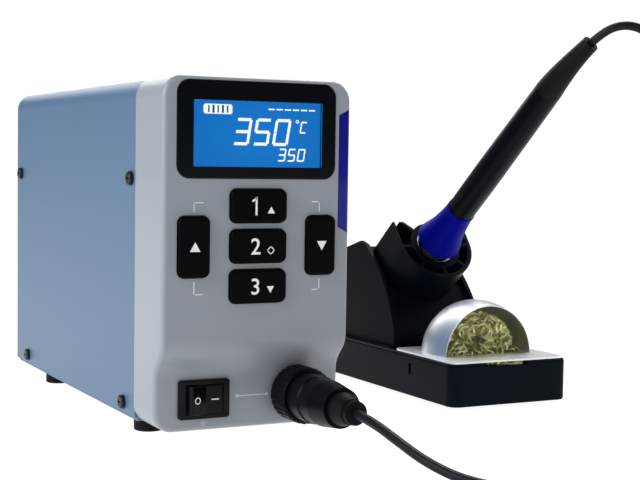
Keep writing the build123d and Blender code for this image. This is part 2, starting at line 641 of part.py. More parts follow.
with BuildPart() as transformer_bracket:
    with BuildSketch(Plane.XZ.offset(-(CORE_Y - 7.0))):
        with Locations((CORE_X, TRAY_TOP)):
            outer_h = CORE_H + 0.1 + SHEET
            with Locations((0, outer_h / 2)):
                Rectangle(CORE_W + 0.2 + 2 * SHEET, outer_h)
            with Locations((0, (CORE_H + 0.1) / 2)):
                Rectangle(CORE_W + 0.2, CORE_H + 0.1, mode=Mode.SUBTRACT)
            with GridLocations(CORE_W + 0.2 + 2 * SHEET + EAR, 0, 2, 1):
                with Locations((0, SHEET / 2)):
                    Rectangle(EAR, SHEET)
    extrude(amount=-14.0)
    with BuildSketch(Plane.XY.offset(TRAY_TOP)):
        with Locations(*BRACKET_SCREWS):
            Circle(SCREW_R + 0.1)
    extrude(amount=SHEET, mode=Mode.SUBTRACT)
save(transformer_bracket, "transformer_bracket")

# ---- Main board on four spacers, with its heat sink and capacitors ----
PCB_X, PCB_Y, PCB_W, PCB_L, PCB_T, PCB_Z = 0.0, -21.7, 64.0, 80.0, 1.6, 14.0
PCB_HOLES = [(PCB_X + i * (PCB_W / 2 - 4), PCB_Y + j * (PCB_L / 2 - 4)) for i in (-1, 1) for j in (-1, 1)]
PCB_TOP = PCB_Z + PCB_T
with BuildPart() as main_board:
    with BuildSketch(Plane.XY.offset(PCB_Z)):
        with Locations((PCB_X, PCB_Y)):
            Rectangle(PCB_W, PCB_L)
        with Locations(*PCB_HOLES):
            Circle(SCREW_R + 0.1, mode=Mode.SUBTRACT)
    extrude(amount=PCB_T)
save(main_board, "main_board")

with BuildPart() as board_spacers:
    with BuildSketch(Plane.XY.offset(TRAY_TOP)):
        with Locations(*PCB_HOLES):
            RegularPolygon(3.2, 6)
            Circle(PILOT_R, mode=Mode.SUBTRACT)
    extrude(amount=PCB_Z - TRAY_TOP)
save(board_spacers, "board_spacers")

SINK_X, SINK_L, SINK_H = 19.0, 46.0, 34.0
with BuildPart() as heat_sink:
    with BuildSketch(Plane.XY.offset(PCB_TOP)):
        with Locations((SINK_X, PCB_Y + 4)):
            Rectangle(3.0, SINK_L)
            with Locations((6.0, 0)):
                with GridLocations(1, 6.2, 1, 8):
                    Rectangle(10.0, 1.6)
    extrude(amount=SINK_H)
save(heat_sink, "heat_sink")

with BuildPart() as capacitors:
    with BuildSketch(Plane.XY.offset(PCB_TOP)):
        with Locations((-16, PCB_Y - 8), (-16, PCB_Y + 14)):
            Circle(8.0)
    extrude(amount=26.0)
    fillet(capacitors.faces().sort_by(Axis.Z)[-2:].edges(), radius=1.0)
save(capacitors, "capacitors")

with BuildPart() as chassis_screws:
    for x, z in POSTS:
        add(pan_screw((x, FRONT + BOARD_D + BOARD_T, z), (0, 1, 0), 5.0))
    for z in (13.0, 29.0):
        add(pan_screw((0, BEHIND + 0.3 + SHEET, z), (0, 1, 0), 5.0))
    for x, y in PCB_HOLES:
        add(pan_screw((x, y, PCB_TOP), (0, 0, 1), 5.0))
    for x, y in BRACKET_SCREWS:
        add(pan_screw((x, y, TRAY_TOP + SHEET), (0, 0, 1), 4.0))
save(chassis_screws, "chassis_screws")

# ---- Ribbon cable from the display board down to the main board ----
with BuildPart() as ribbon_cable:
    with BuildLine() as route:
        FilletPolyline((12, FRONT + BOARD_BACK, 66), (12, FRONT + BOARD_BACK + 12, 66),
                       (12, PCB_Y - 34, 40), (12, PCB_Y - 34, PCB_TOP), radius=5)
    with BuildSketch(Plane(origin=route.line @ 0, z_dir=route.line % 0, x_dir=(1, 0, 0))):
        Rectangle(16, 1.2)
    sweep()
save(ribbon_cable, "ribbon_cable")

# ---- Mains inlet with its fuse drawer, in the rear panel; the earth jack beside it ----
FLANGE_X, FLANGE_Z, FLANGE_T = 31.0, 35.0, 2.5
WELL_W, WELL_H, WELL_D = 24.6, 16.6, 15.0
DRAWER_W, DRAWER_H, DRAWER_D, DRAWER_FACE = 17.0, 7.6, 18.0, 1.2
well_z, drawer_z = inlet_z - 5.0, inlet_z + 10.0
inlet_face = REAR + FLANGE_T
with BuildPart() as mains_inlet:
    with BuildSketch(Plane.XZ.offset(-REAR)):
        with Locations((inlet_x, inlet_z)):
            RectangleRounded(FLANGE_X, FLANGE_Z, 2.5)
    extrude(amount=-FLANGE_T)
    with BuildSketch(Plane.XZ.offset(-REAR)):
        with Locations((inlet_x, inlet_z)):
            Rectangle(INLET_W, INLET_H)
    extrude(amount=INLET_D - FLANGE_T)
    with BuildSketch(Plane.XZ.offset(-inlet_face)):
        with Locations((inlet_x, well_z)):
            RectangleRounded(WELL_W, WELL_H, 2.0)
    extrude(amount=WELL_D, mode=Mode.SUBTRACT)
    with BuildSketch(Plane.XZ.offset(-inlet_face)):
        with Locations((inlet_x, drawer_z)):
            Rectangle(DRAWER_W + 2 * FIT, DRAWER_H + 2 * FIT)
    extrude(amount=DRAWER_D + 1, mode=Mode.SUBTRACT)
    INLET_PINS = [(inlet_x - 7.0, well_z - 2.0), (inlet_x + 7.0, well_z - 2.0), (inlet_x, well_z + 2.0)]
    with BuildSketch(Plane.XZ.offset(-inlet_face)):
        with Locations(*INLET_PINS):
            Rectangle(2.0, 4.0)
    extrude(amount=INLET_D + 5, mode=Mode.SUBTRACT)
save(mains_inlet, "mains_inlet")

with BuildPart() as inlet_pins:
    with BuildSketch(Plane.XZ.offset(-(inlet_face - 3.0))):
        with Locations(*INLET_PINS):
            Rectangle(2.0, 4.0)
    extrude(amount=INLET_D + 5.0)
save(inlet_pins, "inlet_pins")

with BuildPart() as fuse_drawer:
    with BuildSketch(Plane.XZ.offset(-inlet_face)):
        with Locations((inlet_x, drawer_z)):
            Rectangle(DRAWER_W, DRAWER_H)
    extrude(amount=DRAWER_D)
    with BuildSketch(Plane.XZ.offset(-inlet_face)):
        with Locations((inlet_x, drawer_z)):
            Rectangle(DRAWER_W + 3.0, DRAWER_H - 1.0)
    extrude(amount=-DRAWER_FACE)
    with BuildSketch(Plane.XY.offset(drawer_z + DRAWER_H / 2)):
        with Locations((inlet_x, inlet_face - DRAWER_D / 2)):
            Rectangle(DRAWER_W, 5.6)
            Rectangle(14.0, 9.0)
    extrude(amount=-6.4, mode=Mode.SUBTRACT)
save(fuse_drawer, "fuse_drawer")

with BuildPart() as fuse:
    with BuildSketch(Plane.YZ.offset(inlet_x - 8.1)):
        with Locations((inlet_face - DRAWER_D / 2, drawer_z + 0.1)):
            Circle(2.5)
    extrude(amount=16.2)
save(fuse, "fuse")

with BuildPart() as ground_jack:
    with BuildSketch(Plane.XZ.offset(-REAR)):
        with Locations((JACK_X, JACK_Z)):
            Circle(6.5)
    extrude(amount=-2.5)
    with BuildSketch(Plane.XZ.offset(-REAR)):
        with Locations((JACK_X, JACK_Z)):
            Circle(4.0)
    extrude(amount=14.0)
    with BuildSketch(Plane.XZ.offset(-(REAR - SHEET))):
        with Locations((JACK_X, JACK_Z)):
            RegularPolygon(6.0, 6)
    extrude(amount=2.5)
    with BuildSketch(Plane.XZ.offset(-(REAR + 2.5))):
        with Locations((JACK_X, JACK_Z)):
            Circle(JACK_R)
    extrude(amount=14.5, mode=Mode.SUBTRACT)
save(ground_jack, "ground_jack")

# ---- Stand: base moulding with a pocket for the brass wool, hollow behind it ----
def beside(front, back):
    """Middle and length along Y of a stretch given from the stand's front edge."""
    return STAND_FRONT + (front + back) / 2, back - front


STAND_HOLES = [(STAND_X + i * 18.0, STAND_FRONT + s) for i in (-1, 1) for s in (86.0, 140.0)]
mid_y, _ = beside(0, BASE_L)
with BuildPart() as stand_base:
    with BuildSketch(Plane.XY.offset(BASE_LOW)):
        with Locations((STAND_X, mid_y)):
            RectangleRounded(BASE_W, BASE_L, BASE_R)
    extrude(amount=BASE_TOP - BASE_LOW)
    fillet(stand_base.faces().sort_by(Axis.Z)[-1].edges(), radius=1.5)
    fillet(stand_base.faces().sort_by(Axis.Z)[0].edges(), radius=0.8)
    pocket_y, pocket_l = beside(BASE_WALL, WOOL_BACK)
    with BuildSketch(Plane.XY.offset(WOOL_FLOOR)):
        with Locations((STAND_X, pocket_y)):
            RectangleRounded(BASE_W - 2 * BASE_WALL, pocket_l, 3.0)
    extrude(amount=BASE_TOP, mode=Mode.SUBTRACT)
    # Low lip in the middle of the front wall, where wool shows under the cleaner cover.
    with BuildSketch(Plane.XY.offset(BASE_TOP - 2.0)):
        with Locations((STAND_X - 2.0, STAND_FRONT)):
            Rectangle(22.0, 4 * BASE_WALL)
    extrude(amount=3.0, mode=Mode.SUBTRACT)
    hollow_y, hollow_l = beside(WOOL_BACK + BASE_WALL, BASE_L - BASE_WALL)
    with BuildSketch(Plane.XY.offset(BASE_LOW)):
        with Locations((STAND_X, hollow_y)):
            RectangleRounded(BASE_W - 2 * BASE_WALL, hollow_l, 3.0)
        with Locations(*STAND_HOLES):
            Circle(4.5, mode=Mode.SUBTRACT)
    extrude(amount=BASE_TOP - BASE_LOW - BASE_WALL, mode=Mode.SUBTRACT)
    with BuildSketch(Plane.XY.offset(BASE_LOW)):
        with Locations(*STAND_HOLES):
            Circle(SCREW_HEAD_R + 0.3)
    extrude(amount=BASE_TOP - BASE_LOW - BASE_WALL - 1, mode=Mode.SUBTRACT)
    with BuildSketch(Plane.XY.offset(BASE_LOW)):
        with Locations(*STAND_HOLES):
            Circle(SCREW_R + 0.1)
    extrude(amount=BASE_TOP, mode=Mode.SUBTRACT)
    # Small oval finger marks on both sides.
    for side in (-1, 1):
        with BuildSketch(Plane.YZ.offset(STAND_X + side * BASE_W / 2)):
            with Locations((STAND_FRONT + 36.0, 13.5)):
                SlotOverall(5.5, 2.2, rotation=90)
        extrude(amount=-side * 1.0, mode=Mode.SUBTRACT)
save(stand_base, "stand_base")

with BuildPart() as stand_feet:
    with BuildSketch():
        with Locations((STAND_X, (2 * STAND_FRONT + WOOL_BACK) / 2)):
            with GridLocations(BASE_W - 18, WOOL_BACK - 22, 2, 2):
                Circle(4.0)
        with Locations((STAND_X, STAND_FRONT + BASE_L - BASE_WALL / 2)):
            Rectangle(BASE_W - 20, BASE_WALL - 1.0)
    extrude(amount=BASE_LOW)
save(stand_feet, "stand_feet")

# ---- Iron holder: a U-shaped moulding with a ribbed mouth, tilted back ----
ua, wa = cos(radians(TILT)), sin(radians(TILT))


def iron_plane(along):
    """The plane across the iron's axis, this far up it from the guard's rim; x across, y upward."""
    return Plane(
        origin=(STAND_X, RIM_Y - ua * along, RIM_Z + wa * along), x_dir=(1, 0, 0), z_dir=(0, -ua, wa)
    )


def u_outline(inset):
    """The holder's U seen along its axis, drawn in by inset."""
    w, r = HOLDER_W - inset, HOLDER_R - inset
    Polyline((-w, 0), (-w, HOLDER_UP), (w, HOLDER_UP), (w, 0))
    ThreePointArc((w, 0), (0, -r), (-w, 0))


floor_cut = Plane.XY.offset(BASE_TOP)
with BuildPart() as iron_holder:
    with BuildSketch(iron_plane(HOLDER_FACE)):
        with BuildLine():
            u_outline(0)
        make_face()
    extrude(amount=-HOLDER_L)
    fillet([e for e in iron_holder.edges().filter_by(GeomType.LINE)
            if abs(e.tangent_at(0).X) < 0.01 and e.length > HOLDER_L - 1
            and (iron_plane(HOLDER_FACE).to_local_coords(e.center())).Y > 0], radius=1.5)
    with BuildSketch(iron_plane(HOLDER_FACE)):
        with BuildLine():
            u_outline(HOLDER_T)
        make_face()
        Circle(SOCKET_RING_R, mode=Mode.SUBTRACT)
        with PolarLocations(HOLDER_W + 3, 7, start_angle=135, angular_range=270, endpoint=True):
            Rectangle(2 * HOLDER_W, RIB_T, mode=Mode.SUBTRACT)
    extrude(amount=-MOUTH_DEPTH, mode=Mode.SUBTRACT)
    with BuildSketch(iron_plane(HOLDER_FACE)):
        Circle(LINER_R + FIT)
    extrude(amount=-(HOLDER_L - 6), mode=Mode.SUBTRACT)
    # Cut level where the holder would run below the base's top.
    with BuildSketch(Plane.XY.offset(BASE_TOP)):
        with Locations((STAND_X, RIM_Y)):
            Rectangle(200, 300)
    extrude(amount=-80, mode=Mode.SUBTRACT)
save(iron_holder, "iron_holder")

with BuildPart() as holder_liner:
    with BuildSketch(iron_plane(HOLDER_FACE - 1.0)):
        Circle(LINER_R)
        Circle(LINER_R - LINER_T, mode=Mode.SUBTRACT)
    extrude(amount=-LINER_L)
save(holder_liner, "holder_liner")

# ---- Iron: handle, flared rubber guard, barrel with its nut, tip, and strain relief ----
def on_axis(points, name):
    """A piece turned about the iron's axis from points (radius, distance up from the guard's rim)."""
    with BuildPart() as piece:
        with BuildSketch(Plane(origin=iron_plane(0).origin, x_dir=(1, 0, 0), z_dir=(0, -wa, -ua))):
            with BuildLine():
                Polyline(*points, close=True)
            make_face()
        revolve(axis=Axis(iron_plane(0).origin, (0, -ua, wa)))
    save(piece, name)


core_r = 4.0
on_axis(
    [(core_r, 1.0), (RIM_R - 1.6, 1.0), (RIM_R - 0.4, 0.0), (RIM_R, 0.6), (RIM_R - 0.3, 2.4), (9.6, 6.0),
     (8.3, 11.0), (7.4, 17.0), (GRIP_R, 22.0), (GRIP_R, GRIP_L), (core_r, GRIP_L)],
    "iron_guard",
)
on_axis(
    [(0, 2.0), (core_r, 2.0), (core_r, GRIP_L), (HANDLE_R, GRIP_L), (HANDLE_R, GRIP_L + 30.0),
     (HANDLE_END_R, GRIP_L + HANDLE_L), (0, GRIP_L + HANDLE_L)],
    "iron_handle",
)
on_axis(
    [(0, 1.6), (core_r - 0.2, 1.6), (BARREL_R, 0.0), (BARREL_R, -BARREL_L), (0, -BARREL_L)], "heater_barrel"
)
on_axis(
    [(BARREL_R, -2.0), (NUT_R, -3.0), (NUT_R, -9.0), (NUT_R - 0.9, -NUT_L), (BARREL_R, -NUT_L)], "barrel_nut"
)
on_axis(
    [(0, -BARREL_L), (TIP_R, -BARREL_L), (TIP_R, -BARREL_L - 8.0), (0.4, -BARREL_L - TIP_L),
     (0, -BARREL_L - TIP_L)],
    "solder_tip",
)

# The strain relief bends to the right as the cord's weight draws it.
boot_start = iron_plane(GRIP_L + HANDLE_L)
bend = radians(BOOT_BEND)
arc_r = BOOT_L / bend


def boot_plane(share):
    """The plane across the strain relief after this share of its bend."""
    turn = bend * share
    here = boot_start.origin + Vector(arc_r * (1 - cos(turn)), -ua * arc_r * sin(turn), wa * arc_r * sin(turn))
    ahead = Vector(sin(turn), -ua * cos(turn), wa * cos(turn))
    return Plane(origin=here, x_dir=Vector(cos(turn), ua * sin(turn), -wa * sin(turn)), z_dir=ahead)


with BuildPart() as iron_boot:
    for share, radius in ((0, HANDLE_END_R), (0.35, 5.0), (0.7, 4.1), (1, BOOT_END_R)):
        with BuildSketch(boot_plane(share)):
            Circle(radius)
    loft()
save(iron_boot, "iron_boot")
boot_end = boot_plane(1)
print("iron axis at the guard's rim", iron_plane(0).origin, "boot end", boot_end.origin, boot_end.z_dir)

# ---- Stand frame: two leaning side walls, the apron in front and the sloping back, one moulding ----
def along_stand(points):
    """Points given as (distance behind the stand's front edge, height), in the YZ plane."""
    return [(STAND_FRONT + s, z) for s, z in points]


def between_walls(inset):
    """The space between the stand's side walls, or their outer form, drawn in by inset."""
    foot, rise = SIDE_P - inset, 60.0
    lean = rise * tan(radians(SIDE_LEAN))
    with BuildPart() as space:
        with BuildSketch(Plane.XZ.offset(-STAND_FRONT)):
            with BuildLine():
                Polyline((STAND_X - foot, BASE_TOP), (STAND_X - foot + lean, BASE_TOP + rise),
                         (STAND_X + foot - lean, BASE_TOP + rise), (STAND_X + foot, BASE_TOP), close=True)
            make_face()
        extrude(amount=-BASE_L)
    return space.part


WEB = 2.2               # apron, back and floor of the frame
FRAME_BACK = BASE_L - 5.0
with BuildPart() as side_form:
    with BuildSketch(Plane.YZ.offset(STAND_X)):
        with BuildLine():
            Spline(*along_stand([(60.0, BASE_TOP), (63.0, 31.6), (75.0, 50.0), (95.0, 66.6)]),
                   tangents=((0.02, 1), (1, 0.8)))
            Polyline(*along_stand([(95.0, 66.6), (101.0, 68.2), (114.4, 64.3), (138.0, 53.0),
                                   (FRAME_BACK, BASE_TOP), (60.0, BASE_TOP)]))
        make_face()
    extrude(amount=UNIT_W, both=True)
with BuildPart() as webs:
    with BuildSketch(Plane.YZ.offset(STAND_X)):
        with BuildLine():
            front = along_stand([(63.0, BASE_TOP), (65.5, 31.0), (76.0, 47.0)])
            back = along_stand([(76.0 + WEB, 46.0), (65.6 + WEB, 30.2), (63.0 + WEB, BASE_TOP)])
            Spline(*front, tangents=((0.02, 1), (1, 1)))
            Line(front[-1], back[0])
            Spline(*back, tangents=((-1, -1), (-0.02, -1)))
            Line(back[-1], front[0])
        make_face()
        with BuildLine():
            Polyline(*along_stand([(114.4, 64.3), (138.0, 53.0), (FRAME_BACK, BASE_TOP),
                                   (FRAME_BACK - WEB, BASE_TOP), (138.0 - WEB, 53.0 - WEB),
                                   (112.0, 64.3 - WEB)]), close=True)
        make_face()
        with BuildLine():
            Polyline(*along_stand([(63.5, BASE_TOP), (FRAME_BACK - 1, BASE_TOP),
                                   (FRAME_BACK - 1, BASE_TOP + WEB), (64.5, BASE_TOP + WEB)]), close=True)
        make_face()
    extrude(amount=UNIT_W, both=True)
with BuildPart() as holder_room:
    with BuildSketch(iron_plane(HOLDER_FACE + 1)):
        with BuildLine():
            u_outline(-0.1)
        make_face()
    extrude(amount=-(HOLDER_L + 1.1))
with BuildPart() as stand_frame:
    add(side_form.part.intersect(between_walls(0) - between_walls(SIDE_T)))
    add(webs.part.intersect(between_walls(SIDE_T / 2)))
    add(holder_room.part, mode=Mode.SUBTRACT)
    with BuildSketch(Plane.XY.offset(BASE_TOP)):
        with Locations(*STAND_HOLES):
            Circle(3.5)
    extrude(amount=9.0)
    with BuildSketch(Plane.XY.offset(BASE_TOP)):
        with Locations(*STAND_HOLES):
            Circle(PILOT_R)
    extrude(amount=8.0, mode=Mode.SUBTRACT)
save(stand_frame, "stand_frame")

with BuildPart() as stand_screws:
    for x, y in STAND_HOLES:
        add(pan_screw((x, y, BASE_TOP - BASE_WALL - 1.0), (0, 0, -1), 9.0))
save(stand_screws, "stand_screws")

# ---- Cleaner cover: a steel plate with a half-round hood pressed up over its opening ----
PLATE_Z = BASE_TOP
PLATE_TOP = PLATE_Z + PLATE_T


def hood_form(inset):
    """Half of a bulging dome, lying along Y, its open mouth to the front, drawn in by inset."""
    mouth, bulge = HOOD_MOUTH_R - inset, HOOD_BULGE_R - inset
    start, end = STAND_FRONT + HOOD_FRONT - (1 if inset else 0), STAND_FRONT + HOOD_BACK - inset
    with BuildPart() as dome:
        with BuildSketch(Plane.YZ.offset(STAND_X)):
            with BuildLine():
                Spline((start, PLATE_Z + mouth), (STAND_FRONT + 31.0, PLATE_Z + bulge), (end, PLATE_Z),
                       tangents=((1, 0.25), (0, -1)))
                Polyline((end, PLATE_Z), (start, PLATE_Z), (start, PLATE_Z + mouth))
            make_face()
        revolve(axis=Axis((STAND_X, 0, PLATE_Z), (0, 1, 0)), revolution_arc=360)
        with BuildSketch(Plane.XY.offset(PLATE_Z)):
            with Locations((STAND_X, STAND_FRONT)):
                Rectangle(200, 300)
        extrude(amount=-100, mode=Mode.SUBTRACT)
    return dome.part


plate_y, plate_l = beside(PLATE_IN, PLATE_BACK)
hole_y, hole_l = beside(HOOD_FRONT + 1.5, HOOD_BACK - 4.0)
with BuildPart() as cleaner_cover:
    with BuildSketch(Plane.XY.offset(PLATE_Z)):
        with Locations((STAND_X, plate_y)):
            RectangleRounded(BASE_W - 2 * PLATE_IN, plate_l, BASE_R - PLATE_IN)
    extrude(amount=PLATE_T)
    add(hood_form(0))
    add(hood_form(HOOD_T), mode=Mode.SUBTRACT)
    with BuildSketch(Plane.XY.offset(PLATE_Z)):
        with Locations((STAND_X, hole_y)):
            RectangleRounded(2 * (HOOD_MOUTH_R - HOOD_T) - 1.0, hole_l, 8.0)
    extrude(amount=PLATE_T, mode=Mode.SUBTRACT)
    # The plate closes the floor of the dome in front of the opening.
    with BuildSketch(Plane.XY.offset(PLATE_Z)):
        with Locations((STAND_X, plate_y)):
            RectangleRounded(BASE_W - 2 * PLATE_IN, plate_l, BASE_R - PLATE_IN)
        with Locations((STAND_X, hole_y)):
            RectangleRounded(2 * (HOOD_MOUTH_R - HOOD_T) - 1.0, hole_l, 8.0, mode=Mode.SUBTRACT)
    extrude(amount=PLATE_T)
save(cleaner_cover, "cleaner_cover")

# ---- Brass wool: its outer shape, packed in the pocket and up into the hood ----
WOOL_R = 19.6
with BuildPart() as brass_wool:
    wool_y, wool_l = beside(BASE_WALL + 2.0, WOOL_BACK - 4.0)
    with BuildSketch(Plane.XY.offset(WOOL_FLOOR)):
        with Locations((STAND_X, wool_y)):
            RectangleRounded(BASE_W - 2 * BASE_WALL - 6.0, wool_l, 6.0)
    extrude(amount=BASE_TOP - WOOL_FLOOR - 0.5)
    with BuildSketch(Plane.XY.offset(BASE_TOP - 1.6)):
        with Locations((STAND_X - 2.0, STAND_FRONT + 5.5)):
            RectangleRounded(20.0, 7.0, 1.5)
    extrude(amount=1.1)
    with BuildSketch(Plane.YZ.offset(STAND_X)):
        with BuildLine():
            near, far = along_stand([(HOOD_FRONT + 2.0, 0), (HOOD_BACK - 7.0, 0)])
            Spline((near[0], PLATE_Z + WOOL_R - 3.0), (STAND_FRONT + 29.0, PLATE_Z + WOOL_R),
                   (far[0], PLATE_Z), tangents=((1, 0.8), (0, -1)))
            Polyline((far[0], PLATE_Z), (near[0], PLATE_Z), (near[0], PLATE_Z + WOOL_R - 3.0))
        make_face()
    revolve(axis=Axis((STAND_X, 0, PLATE_Z), (0, 1, 0)), revolution_arc=360)
    with BuildSketch(Plane.XY.offset(WOOL_FLOOR)):
        with Locations((STAND_X, STAND_FRONT)):
            Rectangle(200, 200)
    extrude(amount=-50, mode=Mode.SUBTRACT)
save(brass_wool, "brass_wool")

# ---- Cord: from the iron's strain relief down to a tied coil, then along the table to the plug ----
def cord_tube(points, name):
    """A plain tube along straight runs joined by arcs as large as the runs allow."""
    spots = [Vector(*p) for p in points]
    radii = []
    for before, here, after in zip(spots, spots[1:], spots[2:]):
        turn = (here - before).get_angle(after - here)
        radii.append(0.45 * min((here - before).length, (after - here).length) / tan(radians(turn / 2)))
    with BuildPart() as tube:
        with BuildLine() as route:
            FilletPolyline(*spots, radius=radii)
        with BuildSketch(Plane(origin=route.line @ 0, z_dir=route.line % 0)):
            Circle(CORD_R)
        sweep()
    length = sum(edge.length for edge in route.edges())
    section = pi * CORD_R**2 * length
    print(name, "radii", [round(r, 1) for r in radii], "length", round(length, 1),
          "volume / section x length", round(tube.part.volume / section, 4))
    save(tube, name)


cord_tube(
    [
        tuple(boot_end.origin), (141.1, -130.1, 162.2), (146.7, -135.1, 165.0), (153.5, -138.9, 163.6),
        (159.3, -141.1, 158.5), (163.5, -142.3, 149.4), (167.2, -143.0, 134.8), (169.6, -143.3, 112.0),
        (171.0, -143.2, 86.0), (172.6, -143.4, 60.0), (175.8, -145.0, 37.0), (181.5, -148.6, 19.5),
        (189.0, -154.6, 11.8), (194.6, -160.6, 10.6),
    ],
    "iron_cord_drop",
)
FLOOR_Z = CORD_R + 0.05
cord_tube(
    [
        (PLUG_X, FRONT + PLUG_END, PLUG_Z), (19.6, -159.5, 15.8), (20.6, -174.0, 12.2), (23.6, -189.0, 7.2),
        (30.0, -203.5, 3.2), (42.0, -217.0, FLOOR_Z), (60.0, -226.5, FLOOR_Z), (83.0, -230.5, FLOOR_Z),
        (108.0, -229.0, FLOOR_Z), (132.0, -222.5, FLOOR_Z), (154.0, -211.5, 2.2), (172.0, -202.4, 2.3),
    ],
    "iron_cord_run",
)
coil_low, coil_high = TIE_T, TIE_T + 4 * CORD_R
COIL_HALF = COIL_LAYER * CORD_R + 0.1
with BuildPart() as iron_cord_coil:
    with BuildSketch(Plane.XZ.offset(-COIL_Y)):
        with Locations((COIL_X + COIL_MID_R, (coil_low + coil_high) / 2)):
            RectangleRounded(2 * COIL_HALF + 2 * CORD_R, coil_high - coil_low, CORD_R)
    revolve(axis=Axis((COIL_X, COIL_Y, 0), (0, 0, 1)))
save(iron_cord_coil, "iron_cord_coil")

with BuildPart() as cord_tie:
    with BuildSketch(Plane.XZ.offset(-(COIL_Y - TIE_W / 2))):
        with Locations((COIL_X - COIL_MID_R, (coil_low + coil_high) / 2)):
            RectangleRounded(2 * (COIL_HALF + CORD_R + 0.5 + TIE_T), coil_high - coil_low + 2 * TIE_T, 1.6)
            RectangleRounded(2 * (COIL_HALF + CORD_R + 0.5), coil_high - coil_low, 0.4, mode=Mode.SUBTRACT)
    extrude(amount=-TIE_W)
save(cord_tie, "cord_tie")
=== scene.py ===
import bpy
import random
from math import cos, pi, radians, sin
from mathutils import Matrix, Vector


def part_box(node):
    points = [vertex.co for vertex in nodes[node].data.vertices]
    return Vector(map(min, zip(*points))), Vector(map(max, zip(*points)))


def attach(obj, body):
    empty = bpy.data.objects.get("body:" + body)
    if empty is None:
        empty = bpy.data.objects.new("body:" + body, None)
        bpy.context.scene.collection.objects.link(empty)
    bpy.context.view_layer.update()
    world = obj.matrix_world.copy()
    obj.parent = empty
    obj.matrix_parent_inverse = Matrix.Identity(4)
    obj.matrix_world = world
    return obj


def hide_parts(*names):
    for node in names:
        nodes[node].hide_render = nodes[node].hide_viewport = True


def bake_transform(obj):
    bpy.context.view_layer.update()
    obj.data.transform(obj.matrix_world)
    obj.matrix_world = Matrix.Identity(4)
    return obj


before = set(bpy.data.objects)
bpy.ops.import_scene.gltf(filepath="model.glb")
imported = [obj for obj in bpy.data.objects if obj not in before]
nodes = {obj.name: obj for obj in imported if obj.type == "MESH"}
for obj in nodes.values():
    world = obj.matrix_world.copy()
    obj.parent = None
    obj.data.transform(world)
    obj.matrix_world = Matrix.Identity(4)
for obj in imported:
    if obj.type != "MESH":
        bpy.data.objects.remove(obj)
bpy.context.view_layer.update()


UNIT_X, UNIT_Y = -63.25, 9.75       # middle of the control unit in the frame, in mm


def at(x, y, z):
    """A point in mm from the table under the middle of the control unit, as metres in the frame."""
    return Vector((x + UNIT_X, y + UNIT_Y, z)) / 1000


# ---- Camera ----
# It stands low in front of the control unit's left corner, a little tipped down, with a long lens.
camera = bpy.data.objects.new("camera", bpy.data.cameras.new("camera"))
bpy.context.collection.objects.link(camera)
bpy.context.scene.camera = camera
camera.data.lens = 76.5
camera.data.sensor_width = 36
camera.matrix_world = (
    Matrix.Translation(at(-215.88, -574.42, 107.85))
    @ Matrix.Rotation(radians(-27.21), 4, "Z")
    @ Matrix.Rotation(radians(90 - 3.33), 4, "X")
    @ Matrix.Rotation(radians(0.86), 4, "Z")
)

# ---- Iron's cord ----
# A limp silicone lead 3.6 mm thick. From the iron it arches over and drops to the table, where its
# slack is wound in a flat coil of two layers, and from the coil it runs along the table to the plug.


def grained(
    name, colour, rough, metal=0.0, cells=1500.0, relief=0.1, vary=0.1, stretch=(1, 1, 1), shine=0.5
):
    """A surface whose colour, roughness and bump all follow one small noise, in cells to the metre."""
    material = bpy.data.materials.new(name)
    material.use_nodes = True
    make, link = material.node_tree.nodes.new, material.node_tree.links.new
    shader = material.node_tree.nodes["Principled BSDF"]
    shader.inputs["Metallic"].default_value = metal
    shader.inputs["Specular IOR Level"].default_value = shine
    place, pull = make("ShaderNodeTexCoord"), make("ShaderNodeMapping")
    grain = make("ShaderNodeTexNoise")
    pull.inputs["Scale"].default_value = stretch
    grain.inputs["Scale"].default_value = cells
    grain.inputs["Detail"].default_value = 3
    link(place.outputs["Object"], pull.inputs["Vector"])
    link(pull.outputs["Vector"], grain.inputs["Vector"])
    tones = make("ShaderNodeValToRGB")
    dark, light = tones.color_ramp.elements
    dark.position, light.position = 0.3, 0.7
    dark.color = (*[c * (1 - vary) for c in colour], 1)
    light.color = (*[min(1, c * (1 + vary)) for c in colour], 1)
    link(grain.outputs["Fac"], tones.inputs["Fac"])
    link(tones.outputs["Color"], shader.inputs["Base Color"])
    dull = make("ShaderNodeMapRange")
    dull.inputs["To Min"].default_value = rough * 0.8
    dull.inputs["To Max"].default_value = min(1, rough * 1.2)
    link(grain.outputs["Fac"], dull.inputs["Value"])
    link(dull.outputs["Result"], shader.inputs["Roughness"])
    bump = make("ShaderNodeBump")
    bump.inputs["Strength"].default_value = relief
    bump.inputs["Distance"].default_value = 0.0002
    link(grain.outputs["Fac"], bump.inputs["Height"])
    link(bump.outputs["Normal"], shader.inputs["Normal"])
    return material


def piece_of(name, points, faces, material, smooth=False):
    """A new piece from its points and faces, with the finish it is given."""
    mesh = bpy.data.meshes.new(name)
    mesh.from_pydata(points, [], faces)
    mesh.polygons.foreach_set("use_smooth", [smooth] * len(mesh.polygons))
    mesh.materials.append(material)
    piece = bpy.data.objects.new(name, mesh)
    bpy.context.collection.objects.link(piece)
    return piece


